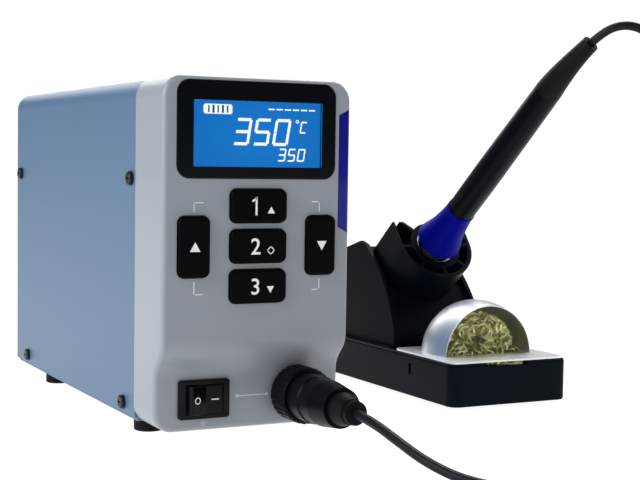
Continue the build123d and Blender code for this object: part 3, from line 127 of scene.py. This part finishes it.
def tube(name, line, radius, sides, material):
    """A round tube along a line of points, closed at both ends."""
    rings, points, faces = len(line), [], []
    across = (line[1] - line[0]).orthogonal().normalized()
    for i, middle in enumerate(line):
        along = (line[min(i + 1, rings - 1)] - line[max(i - 1, 0)]).normalized()
        across = (across - along * across.dot(along)).normalized()
        up = along.cross(across)
        for k in range(sides):
            turn = 2 * pi * k / sides
            points.append(middle + radius * (across * cos(turn) + up * sin(turn)))
    for i in range(rings - 1):
        for k in range(sides):
            a, b = i * sides + k, i * sides + (k + 1) % sides
            faces.append((a, b, b + sides, a + sides))
    faces.append(tuple(reversed(range(sides))))
    faces.append(tuple(range((rings - 1) * sides, rings * sides)))
    return piece_of(name, points, faces, material, smooth=True)


CORD_R = 0.0018
COIL_X, COIL_Y = 176.0, -175.5
COIL_STEPS = 32     # route points in each layer of the coil, a little over 12 to a turn
drop = [
    (139.247, -124.458, 157.666), (141.1, -130.1, 162.2), (146.7, -135.1, 165.0), (153.5, -138.9, 163.6),
    (159.3, -141.1, 158.5), (163.5, -142.3, 149.4), (167.2, -143.0, 134.8), (169.6, -143.3, 112.0),
    (171.0, -143.2, 86.0), (172.6, -143.4, 60.0), (175.8, -145.0, 37.0), (181.5, -148.6, 19.5),
    (189.0, -154.6, 11.8), (194.6, -160.6, 10.6),
]
coil = []
for step in range(2 * COIL_STEPS + 1):
    inward = 1 - abs(step - COIL_STEPS) / COIL_STEPS
    reach = (25.9 - 10.8 * inward) / cos(radians(14.7))
    turn = radians(10 - 29.4 * step)
    layer = 5.9 if step <= COIL_STEPS else 2.3
    height = {0: 8.3, 1: 6.4, COIL_STEPS: 4.9, COIL_STEPS + 1: 3.4}.get(step, layer)
    coil.append((COIL_X + reach * cos(turn), COIL_Y + reach * sin(turn), height))
run = [
    (172.0, -202.4, 2.3), (154.0, -211.5, 2.2), (132.0, -222.5, 1.85), (108.0, -229.0, 1.85),
    (83.0, -230.5, 1.85), (60.0, -226.5, 1.85), (42.0, -217.0, 1.85), (30.0, -203.5, 3.2),
    (23.6, -189.0, 7.2), (20.6, -174.0, 12.2), (19.6, -159.5, 15.8), (19.4, -147.5, 16.8),
]
route = [at(*point) for point in drop + coil + run]
line_data = bpy.data.curves.new("cord_line", "CURVE")
line_data.dimensions = "3D"
spline = line_data.splines.new("NURBS")
spline.points.add(len(route) - 1)
for knot, place in zip(spline.points, route):
    knot.co = (*place, 1)
spline.order_u = 3
spline.use_endpoint_u = True
spline.resolution_u = 7
line_holder = bpy.data.objects.new("cord_line", line_data)
bpy.context.collection.objects.link(line_holder)
bpy.context.view_layer.update()
line_mesh = bpy.data.meshes.new_from_object(line_holder)
cord_line = [vertex.co.copy() for vertex in line_mesh.vertices]
bpy.data.objects.remove(line_holder)

jacket = grained("cord_jacket", (0.006, 0.007, 0.010), 0.45, cells=2600, relief=0.06, shine=0.15)
iron_cord = tube("iron_cord", cord_line, CORD_R, 14, jacket)
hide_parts("iron_cord_drop", "iron_cord_coil", "iron_cord_run")
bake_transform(iron_cord)

# ---- Studio ----
# A white table under a large soft box on the left, with weaker boxes in front, on the right, behind
# and over the stand.
paper = grained("table_paper", (0.3, 0.3, 0.3), 0.9, cells=300, relief=0.02, vary=0.01)
paper.node_tree.nodes["Principled BSDF"].inputs["Emission Color"].default_value = (1, 1, 1, 1)
paper.node_tree.nodes["Principled BSDF"].inputs["Emission Strength"].default_value = 0.94
table = bpy.data.objects.new("table", bpy.data.meshes.new("table"))
corners = [(x, y, -0.0002) for x, y in ((-6, -6), (6, -6), (6, 6), (-6, 6))]
table.data.from_pydata(corners, [], [(0, 1, 2, 3)])
table.data.materials.append(paper)
bpy.context.collection.objects.link(table)


def soft_box(name, place, aim, width, power):
    """A square soft box at place, turned to aim."""
    light = bpy.data.objects.new(name, bpy.data.lights.new(name, "AREA"))
    light.data.size = width
    light.data.energy = power
    light.location = at(*place)
    light.rotation_euler = (at(*aim) - at(*place)).to_track_quat("-Z", "Y").to_euler()
    bpy.context.collection.objects.link(light)


soft_box("key_box", (-900, -160, 520), (0, 0, 70), 0.7, 9.2)
soft_box("front_box", (150, -900, 700), (60, -60, 70), 0.6, 0.8)
soft_box("right_box", (800, -100, 500), (130, -60, 60), 0.5, 1.6)
soft_box("back_box", (150, 800, 600), (100, 0, 60), 0.6, 3)
soft_box("stand_box", (190, 60, 420), (150, -60, 40), 0.25, 1.6)
room = bpy.data.worlds.new("room")
bpy.context.scene.world = room
room.use_nodes = True
room_nodes, room_link = room.node_tree.nodes, room.node_tree.links.new
room_nodes["Background"].inputs["Color"].default_value = (0.16, 0.17, 0.19, 1)
seen_wall = room_nodes.new("ShaderNodeBackground")
seen_wall.inputs["Color"].default_value = (1, 1, 1, 1)
seen_wall.inputs["Strength"].default_value = 1.1
wall_choice, ray_kind = room_nodes.new("ShaderNodeMixShader"), room_nodes.new("ShaderNodeLightPath")
room_link(ray_kind.outputs["Is Camera Ray"], wall_choice.inputs["Fac"])
room_link(room_nodes["Background"].outputs["Background"], wall_choice.inputs[1])
room_link(seen_wall.outputs["Background"], wall_choice.inputs[2])
room_link(wall_choice.outputs["Shader"], room_nodes["World Output"].inputs["Surface"])
bpy.context.scene.view_settings.view_transform = "Standard"

# ---- Front housing ----
# One moulding, painted light grey with a soft satin. The face, its rounded frame and the curve
# down to the switch and socket are all of it.


def dress(material, *names):
    """Give CAD nodes their finish."""
    for name in names:
        nodes[name].data.materials.clear()
        nodes[name].data.materials.append(material)


housing_paint = grained("housing_paint", (0.275, 0.30, 0.335), 0.38, cells=3500, relief=0.05, vary=0.03)
housing_paint.node_tree.nodes["Principled BSDF"].inputs["Coat Weight"].default_value = 0.1
dress(housing_paint, "front_housing")

# ---- Panel printing ----
# Pale ink on the grey face: a bracket at each corner of the key field, a thin pointer between the
# switch and the socket, and a small power mark under the switch.


def stroke(points, width):
    """A flat line of even width through points on the unit's front, as outlines and faces."""
    outline, sides = [], []
    for (x0, z0), (x1, z1) in zip(points, points[1:]):
        reach = ((x1 - x0) ** 2 + (z1 - z0) ** 2) ** 0.5
        ax, az = (x1 - x0) / reach * width / 2, (z1 - z0) / reach * width / 2
        first = len(outline)
        outline += [(x0 - ax + az, z0 - az - ax), (x1 + ax + az, z1 + az - ax),
                    (x1 + ax - az, z1 + az + ax), (x0 - ax - az, z0 - az + ax)]
        sides.append((first, first + 1, first + 2, first + 3))
    return outline, sides


def ring(x, z, radius, width, start=0, end=360):
    """A flat round line, whole or part, as outlines and faces."""
    steps = 28
    bends = [radians(start + (end - start) * i / steps) for i in range(steps + 1)]
    outline = []
    for bend in bends:
        for r in (radius - width / 2, radius + width / 2):
            outline.append((x + r * cos(bend), z + r * sin(bend)))
    return outline, [(2 * i, 2 * i + 1, 2 * i + 3, 2 * i + 2) for i in range(steps)]


def shape(*corners):
    """One flat face, as an outline and its face."""
    return list(corners), [tuple(range(len(corners)))]


def figures(words, height, x, z, slant=0.0, heavier=0.0):
    """Upright figures with their middle at x, z, as outlines and faces."""
    text = bpy.data.curves.new("figures", "FONT")
    text.body, text.shear, text.offset = words, slant, heavier
    holder = bpy.data.objects.new("figures", text)
    bpy.context.collection.objects.link(holder)
    bpy.context.view_layer.update()
    mesh = bpy.data.meshes.new_from_object(holder.evaluated_get(bpy.context.evaluated_depsgraph_get()))
    bpy.data.objects.remove(holder)
    left, right = min(v.co.x for v in mesh.vertices), max(v.co.x for v in mesh.vertices)
    low, top = min(v.co.y for v in mesh.vertices), max(v.co.y for v in mesh.vertices)
    scale = height / (top - low)
    outline = [(x + (v.co.x - (left + right) / 2) * scale, z + (v.co.y - (low + top) / 2) * scale)
               for v in mesh.vertices]
    return outline, [tuple(p.vertices) for p in mesh.polygons]


IN_FRONT = -125     # a depth clear of the front, in mm
INK_T = 0.00004     # how far the ink stands proud of its surface


def printed(name, shapes, node, body, ink):
    """Flat shapes laid as ink on the front surface of a CAD node."""
    points, faces = [], []
    for outline, sides in shapes:
        first = len(points)
        for x, z in outline:
            surface = nodes[node].ray_cast(at(x, IN_FRONT, z), (0, 1, 0))[1]
            points.append(surface - Vector((0, INK_T, 0)))
        faces += [[first + i for i in side] for side in sides]
    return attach(piece_of(name, points, faces, ink), body)


LINE_W, FINE_W = 0.4, 0.3
pale_ink = grained("pale_ink", (0.72, 0.74, 0.76), 0.5, cells=4000, relief=0.02, vary=0.04)
printed("panel_marks", [
    stroke([(-26.6, 88.4), (-26.6, 91.6), (-23.0, 91.6)], LINE_W),
    stroke([(-26.4, 61.8), (-26.4, 57.2), (-23.0, 57.2)], LINE_W),
    stroke([(25.7, 88.4), (25.7, 92.0), (22.6, 92.0)], LINE_W),
    stroke([(26.0, 61.8), (26.0, 57.8), (23.0, 57.8)], LINE_W),
    stroke([(-4.6, 16.5), (7.5, 16.5)], FINE_W),
    ring(-4.9, 16.5, 0.45, FINE_W), ring(7.8, 16.5, 0.45, FINE_W),
    ring(-18.9, 6.7, 0.75, 0.22, 120, 420), stroke([(-18.9, 6.8), (-18.9, 7.7)], 0.22),
], "front_housing", "root", pale_ink)

# ---- Side stripe ----
# A glossy blue strip let into the front right corner.
stripe_gloss = grained("stripe_blue", (0.0, 0.001, 0.21), 0.2, cells=900, relief=0.02,
                       vary=0.05, shine=0.2)
stripe_gloss.node_tree.nodes["Principled BSDF"].inputs["Coat Weight"].default_value = 0.3
dress(stripe_gloss, "side_stripe")

# ---- Display ----
# A clear pane with a polished black border, over a lit blue liquid crystal panel whose bars and
# figures show white. The pane is glued to a ledge in the housing; the panel stands on the board.
PANE_X, PANE_Z = -0.7, 119.0
GLASS_X, GLASS_Z = -0.4, 117.5
GLASS_W, GLASS_H = 53.4, 24.9


def rounded(x, z, width, height, radius, y, corner_steps=8):
    """The outline of a rounded rectangle on the unit's front, as points at depth y."""
    outline = []
    for sx, sz, first in ((1, 1, 0), (-1, 1, 90), (-1, -1, 180), (1, -1, 270)):
        for i in range(corner_steps + 1):
            bend = radians(first + 90 * i / corner_steps)
            outline.append(at(x + sx * (width / 2 - radius) + radius * cos(bend), y,
                              z + sz * (height / 2 - radius) + radius * sin(bend)))
    return outline


def sleeve(loops, closed=False):
    """Faces that join loops of the same number of points, one after the other."""
    count = len(loops[0])
    points = [point for loop in loops for point in loop]
    faces = []
    for start in range(0, len(points) - count, count):
        for k in range(count):
            a, b = start + k, start + (k + 1) % count
            faces.append((a, b, b + count, a + count))
    if closed:
        faces += [tuple(reversed(range(count))), tuple(range(len(points) - count, len(points)))]
    return points, faces


border_gloss = grained("gloss_black", (0.002, 0.0023, 0.0035), 0.14, cells=700, relief=0.015, shine=0.12)
border_points, border_faces = sleeve([
    rounded(PANE_X, PANE_Z, 65.9, 36.6, 5.0, -101.8),
    rounded(PANE_X, PANE_Z, 65.9, 36.6, 5.0, -103.6),
    rounded(PANE_X, PANE_Z, 65.7, 36.4, 4.9, -103.85),
    rounded(PANE_X, PANE_Z, 65.1, 35.8, 4.6, -104.0),
    rounded(GLASS_X, GLASS_Z, GLASS_W + 0.4, GLASS_H + 0.4, 0.8, -104.0),
    rounded(GLASS_X, GLASS_Z, GLASS_W, GLASS_H, 0.6, -103.8),
    rounded(GLASS_X, GLASS_Z, GLASS_W, GLASS_H, 0.6, -101.8),
    rounded(PANE_X, PANE_Z, 65.9, 36.6, 5.0, -101.8),
])
display_border = piece_of("display_border", border_points, border_faces, border_gloss)
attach(display_border, "root")
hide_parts("display_window")

clear_pane = grained("clear_pane", (0.95, 0.97, 1.0), 0.03, cells=400, relief=0.005, vary=0.01)
clear_pane.node_tree.nodes["Principled BSDF"].inputs["Transmission Weight"].default_value = 1.0
clear_pane.node_tree.nodes["Principled BSDF"].inputs["IOR"].default_value = 1.2
lens_points, lens_faces = sleeve([
    rounded(GLASS_X, GLASS_Z, GLASS_W - 0.1, GLASS_H - 0.1, 0.55, -103.0),
    rounded(GLASS_X, GLASS_Z, GLASS_W - 0.1, GLASS_H - 0.1, 0.55, -103.8),
    rounded(GLASS_X, GLASS_Z, GLASS_W - 0.4, GLASS_H - 0.4, 0.5, -103.9),
], closed=True)
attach(piece_of("display_lens", lens_points, lens_faces, clear_pane), "root")


def lit(name, colours, strength, middle):
    """A surface that shines, brightest at its middle."""
    unlit = [c * 0.2 for c in colours[0]]
    material = grained(name, unlit, 0.4, cells=1200, relief=0.01, vary=0.1, shine=0.2)
    make, link = material.node_tree.nodes.new, material.node_tree.links.new
    place, shift = make("ShaderNodeTexCoord"), make("ShaderNodeMapping")
    spread = make("ShaderNodeTexGradient")
    spread.gradient_type = "SPHERICAL"
    shift.inputs["Location"].default_value = (-middle.x * 22, -middle.y * 22, -middle.z * 34)
    shift.inputs["Scale"].default_value = (22, 22, 34)
    tones = make("ShaderNodeValToRGB")
    tones.color_ramp.elements[0].color = (*colours[0], 1)
    tones.color_ramp.elements[1].color = (*colours[1], 1)
    link(place.outputs["Object"], shift.inputs["Vector"])
    link(shift.outputs["Vector"], spread.inputs["Vector"])
    link(spread.outputs["Fac"], tones.inputs["Fac"])
    shader = material.node_tree.nodes["Principled BSDF"]
    link(tones.outputs["Color"], shader.inputs["Emission Color"])
    shader.inputs["Emission Strength"].default_value = strength
    return material


panel_glow = lit("lcd_blue", ((0.0, 0.125, 0.42), (0.0, 0.165, 0.53)), 1.0, at(GLASS_X, -102.3, GLASS_Z))
glow_points, glow_faces = sleeve([
    rounded(GLASS_X, GLASS_Z, GLASS_W - 0.1, GLASS_H - 0.1, 0.5, -101.2),
    rounded(GLASS_X, GLASS_Z, GLASS_W - 0.1, GLASS_H - 0.1, 0.5, -102.2),
    rounded(GLASS_X, GLASS_Z, GLASS_W - 0.4, GLASS_H - 0.4, 0.4, -102.3),
], closed=True)
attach(piece_of("lcd_panel", glow_points, glow_faces, panel_glow), "root")

LCD_LEFT, LCD_TOP = GLASS_X - GLASS_W / 2, GLASS_Z + GLASS_H / 2


def in_glass(shapes, depth):
    """Move flat shapes, measured from the lit area's top left corner, to points at a depth."""
    points, faces = [], []
    for outline, sides in shapes:
        first = len(points)
        points += [at(LCD_LEFT + x, depth, LCD_TOP + z) for x, z in outline]
        faces += [[first + i for i in side] for side in sides]
    return points, faces


white_glow = lit("lcd_white", ((0.85, 0.93, 1.0), (0.95, 0.98, 1.0)), 0.95, at(GLASS_X, -102.3, GLASS_Z))
dark_glow = lit("lcd_dark", ((0.0, 0.03, 0.14), (0.0, 0.05, 0.2)), 0.6, at(GLASS_X, -102.3, GLASS_Z))
BARS = {"a": (-1, 1, 1, 1), "b": (1, 1, 1, 0), "c": (1, 0, 1, -1), "d": (-1, -1, 1, -1),
        "e": (-1, 0, -1, -1), "f": (-1, 1, -1, 0), "g": (-1, 0, 1, 0)}
DIGITS = {"3": "abcdg", "5": "afgcd", "0": "abcdef", "C": "afed"}
LEAN = 0.17


def lit_figures(words, x, z, width, height, bar, spacing):
    """Leaning figures built of straight bars, the first with its middle at x, z."""
    shapes = []
    for place, figure in enumerate(words):
        for x0, z0, x1, z1 in (BARS[lit_bar] for lit_bar in DIGITS[figure]):
            half_w, half_h = (width - bar) / 2, (height - bar) / 2
            trim_x, trim_z = (x1 - x0) / 2 * bar * 0.56, (z1 - z0) * bar * 0.56
            ends = [(x0 * half_w + trim_x, z0 * half_h + trim_z),
                    (x1 * half_w - trim_x, z1 * half_h - trim_z)]
            outline, sides = stroke(ends, bar)
            middle = x + place * spacing
            shapes.append(([(middle + px + LEAN * pz, z + pz) for px, pz in outline], sides))
    return shapes


label = [(4.9, -1.4), (15.4, -1.4), (16.0, -2.0), (16.0, -4.5), (15.4, -5.1), (4.9, -5.1), (4.3, -4.5),
         (4.3, -2.0)]
figure_points, figure_faces = in_glass([
    *lit_figures("350", 20.3, -11.5, 6.7, 10.3, 1.15, 8.2),
    ring(43.3, -7.2, 0.55, 0.35), *lit_figures("C", 46.0, -9.4, 2.9, 4.6, 0.6, 3.0),
    *lit_figures("350", 36.9, -20.1, 3.2, 5.0, 0.62, 4.1),
    shape(*label),
    *[stroke([(31.2 + 3.45 * i, -2.8), (33.3 + 3.45 * i, -2.8)], 0.55) for i in range(6)],
], -102.36)
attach(piece_of("lcd_figures", figure_points, figure_faces, white_glow), "root")
mark_points, mark_faces = in_glass([
    stroke([(6.4 + 1.9 * i, -2.2), (6.4 + 1.9 * i, -4.3)], 0.6 + 0.25 * (i % 2)) for i in range(5)
], -102.4)
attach(piece_of("lcd_label_bars", mark_points, mark_faces, dark_glow), "root")

# ---- Keys ----
# Hard-coated black rubber keys that come up through the face, with white figures and arrows printed
# on their tops. Each is pressed about a millimetre on to the mat behind it.
key_gloss = grained("key_black", (0.0005, 0.0006, 0.001), 0.3, cells=1800, relief=0.05,
                    vary=0.15, shine=0.05)
key_ink = grained("key_ink", (0.85, 0.86, 0.87), 0.5, cells=4000, relief=0.02, vary=0.03)
dress(key_gloss, "key_1", "key_2", "key_3", "key_up", "key_down")
KEY_X = -0.5
key_marks = {
    "key_1": [stroke([(KEY_X - 1.5, 87.3), (KEY_X - 1.5, 93.4)], 0.85),
              stroke([(KEY_X - 1.6, 93.3), (KEY_X - 2.9, 92.4)], 0.75),
              shape((KEY_X + 3.2, 87.6), (KEY_X + 6.2, 87.6), (KEY_X + 4.7, 90.2))],
    "key_2": [figures("2", 6.2, KEY_X - 1.6, 75.1, heavier=0.008),
              stroke([(KEY_X + 4.7, 72.0), (KEY_X + 6.2, 73.5), (KEY_X + 4.7, 75.0), (KEY_X + 3.2, 73.5),
                      (KEY_X + 4.7, 72.0)], 0.4)],
    "key_3": [figures("3", 6.2, KEY_X - 1.6, 59.8, heavier=0.008),
              shape((KEY_X + 3.2, 59.8), (KEY_X + 6.2, 59.8), (KEY_X + 4.7, 57.2))],
    "key_up": [shape((-28.9, 73.4), (-24.7, 73.4), (-26.8, 77.0))],
    "key_down": [shape((23.9, 76.8), (28.1, 76.8), (26.0, 73.2))],
}
for key, marks in key_marks.items():
    printed(f"{key}_marks", marks, key, key, key_ink)

# ---- Power switch ----
# A snap-in rocker in a shallow bezel, polished black, with its on and off marks in white.
dress(border_gloss, "switch_housing", "switch_rocker")
printed("rocker_marks", [ring(-22.6, 16.3, 1.15, 0.4), stroke([(-16.2, 16.3), (-13.6, 16.3)], 0.45)],
        "switch_rocker", "rocker", key_ink)

# ---- Iron socket, plug and lock ring ----
# Black mouldings: the socket in the lower face, the plug pushed into it, the knurled ring that locks
# it, and a rubber sleeve where the cord goes in. The band on the coil is rubber too.
black_moulding = grained("black_plastic", (0.0012, 0.002, 0.0035), 0.36, cells=2200, shine=0.07)
black_rubber = grained("black_rubber", (0.0016, 0.0022, 0.0034), 0.55, cells=1600, shine=0.12)
dress(black_moulding, "iron_socket", "plug_shell", "lock_ring")
dress(black_rubber, "plug_boot", "cord_tie")

# ---- Cover and chassis ----
# Steel sheet in a satin blue-grey powder paint: the cover folded over the top and both sides, and
# the tray with the rear panel, held together by black pan-head screws.
cover_paint = grained("cover_paint", (0.072, 0.143, 0.245), 0.42, cells=2400, relief=0.12, vary=0.04)
black_oxide = grained("black_screw", (0.02, 0.021, 0.024), 0.35, metal=0.6, cells=3000, relief=0.08)
dress(cover_paint, "housing_cover", "chassis_tray", "rear_panel")
dress(black_oxide, "cover_screws", "stand_screws")
dress(black_rubber, "unit_feet", "stand_feet", "key_mat")

# ---- Inside the control unit ----
# The transformer stands on the tray behind the main board; the display board stands behind the face.
# None of it shows until the cover is off.
plated_steel = grained("bare_steel", (0.52, 0.53, 0.55), 0.32, metal=1.0, cells=900, relief=0.08)
contact_plating = grained("contact_metal", (0.80, 0.66, 0.36), 0.25, metal=1.0, cells=1800, relief=0.05)
lamination = grained("laminations", (0.10, 0.095, 0.095), 0.5, metal=0.7, cells=250, relief=0.35,
                     vary=0.3, stretch=(1, 8, 1))
winding_tape = grained("winding_tape", (0.62, 0.42, 0.07), 0.35, cells=500, relief=0.2,
                       stretch=(1, 1, 6))
solder_mask = grained("circuit_green", (0.012, 0.12, 0.045), 0.3, cells=700, relief=0.15, vary=0.3)
fins = grained("aluminium", (0.62, 0.63, 0.65), 0.34, metal=1.0, cells=500, stretch=(1, 1, 9))
shrunk_sleeve = grained("capacitor_sleeve", (0.02, 0.035, 0.10), 0.22, cells=900, relief=0.04)
ribbon = grained("ribbon_grey", (0.36, 0.37, 0.39), 0.5, cells=700, relief=0.3,
                 vary=0.2, stretch=(3, 0.2, 0.2))
fuse_tube = grained("fuse_glass", (0.86, 0.90, 0.92), 0.05, cells=600, relief=0.01, vary=0.02)
fuse_tube.node_tree.nodes["Principled BSDF"].inputs["Transmission Weight"].default_value = 0.9
earth_green = grained("green_plastic", (0.012, 0.16, 0.04), 0.28, cells=1500, relief=0.05)
dress(plated_steel, "transformer_bracket", "socket_nut", "foot_screws", "chassis_screws",
      "switch_terminals")
dress(contact_plating, "socket_pins", "board_spacers", "inlet_pins")
dress(lamination, "transformer_core")
dress(winding_tape, "transformer_winding")
dress(solder_mask, "main_board", "display_board")
dress(fins, "heat_sink")
dress(shrunk_sleeve, "capacitors")
dress(ribbon, "ribbon_cable")
dress(black_moulding, "controller_chip", "buzzer", "mains_inlet", "fuse_drawer", "lcd_module")
dress(fuse_tube, "fuse")
dress(earth_green, "ground_jack")

# ---- Stand ----
# A heavy black heatproof moulding with a fine spark-eroded grain, in three parts: the base, the
# leaning walls, and the holder that takes the iron.
stand_moulding = grained("stand_plastic", (0.0015, 0.0045, 0.0085), 0.42, cells=1700, relief=0.15,
                         vary=0.2, shine=0.05)
dress(stand_moulding, "stand_base", "stand_frame", "iron_holder")

# ---- Cleaner cover and holder liner ----
# Polished stainless sheet. The cover's half-round hood is pressed up over the wool, and the liner is
# a rolled tube in the holder.
polished = grained("stainless", (0.96, 0.98, 1.0), 0.40, metal=1.0, cells=120, relief=0.05, vary=0.04,
                   stretch=(1, 12, 1))
dress(polished, "cleaner_cover", "holder_liner")

# ---- Brass wool ----
# Long curled shavings of brass, packed loose in the pocket and up into the hood. Each curl is a thin
# flat ribbon wound in its own small helix, kept inside the bundle's outer shape.
CURLS = 430
CURL_STEPS, TURN_STEPS = 46, 14     # lengths of ribbon in a curl, and in one of its turns
RIBBON_W = 0.0008
SHELL, DEEP_SHARE = 0.005, 0.12     # most curls start this near the surface, and few start deeper
BOW = 120                           # how strongly a curl's own line bends
CURL_CLEAR = 0.0003                 # ribbon to the bundle's outer shape
brass = grained("brass_wire", (1.0, 0.96, 0.52), 0.36, metal=0.5, cells=900, relief=0.1, vary=0.06)
random.seed(11)
bundle = nodes["brass_wool"]
bundle_low, bundle_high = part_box("brass_wool")
wool_points, wool_faces = [], []


def inside_bundle(point, room):
    """The point itself, or the nearest place inside the bundle's outer shape, this far in."""
    near, normal = bundle.closest_point_on_mesh(point)[1:3]
    depth = (near - point).dot(normal)
    return point if depth > room else near - normal * room


while len(wool_faces) < CURLS * CURL_STEPS:
    seed_point = Vector([random.uniform(bundle_low[i], bundle_high[i]) for i in range(3)])
    near, normal = bundle.closest_point_on_mesh(seed_point)[1:3]
    buried = (near - seed_point).dot(normal)
    if buried < 0 or (buried > SHELL and random.random() > DEEP_SHARE):
        continue
    heading = Vector([random.gauss(0, 1) for _ in range(3)]).normalized()
    side = heading.orthogonal().normalized()
    other = heading.cross(side)
    curl_r = random.uniform(0.0016, 0.0031)
    pitch = random.uniform(0.001, 0.0026)
    bow = random.uniform(-0.5, 0.5)
    phase = random.uniform(0, 2 * pi)
    first = len(wool_points)
    for step in range(CURL_STEPS + 1):
        turn = phase + step * 2 * pi / TURN_STEPS
        forward = (step - CURL_STEPS // 2) / TURN_STEPS * pitch * 2
        round_it = side * cos(turn) + other * sin(turn)
        bowed = side * bow * forward * abs(forward) * BOW
        spot = inside_bundle(seed_point + heading * forward + bowed + round_it * curl_r, CURL_CLEAR)
        edge = (heading * 0.85 + round_it * 0.5).normalized() * RIBBON_W
        wool_points += [spot - edge * 0.5, spot + edge * 0.5]
    near_edge = [first + 2 * i for i in range(CURL_STEPS)]
    wool_faces += [(i, i + 1, i + 3, i + 2) for i in near_edge]
wool = piece_of("brass_curls", wool_points, wool_faces, brass, smooth=True)
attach(wool, "root")
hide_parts("brass_wool")

# ---- Iron ----
# The barrel and tip slide into the holder. The handle is a smooth black moulding, the flared guard a
# deep blue soft rubber, and the ribbed sleeve at the cord's end a black rubber.
guard_rubber = grained("grip_blue", (0.0, 0.002, 0.24), 0.5, relief=0.12, vary=0.12, shine=0.05)
dress(guard_rubber, "iron_guard")
dress(black_moulding, "iron_handle")
dress(black_rubber, "iron_boot")
dress(polished, "heater_barrel")
dress(plated_steel, "barrel_nut", "solder_tip")
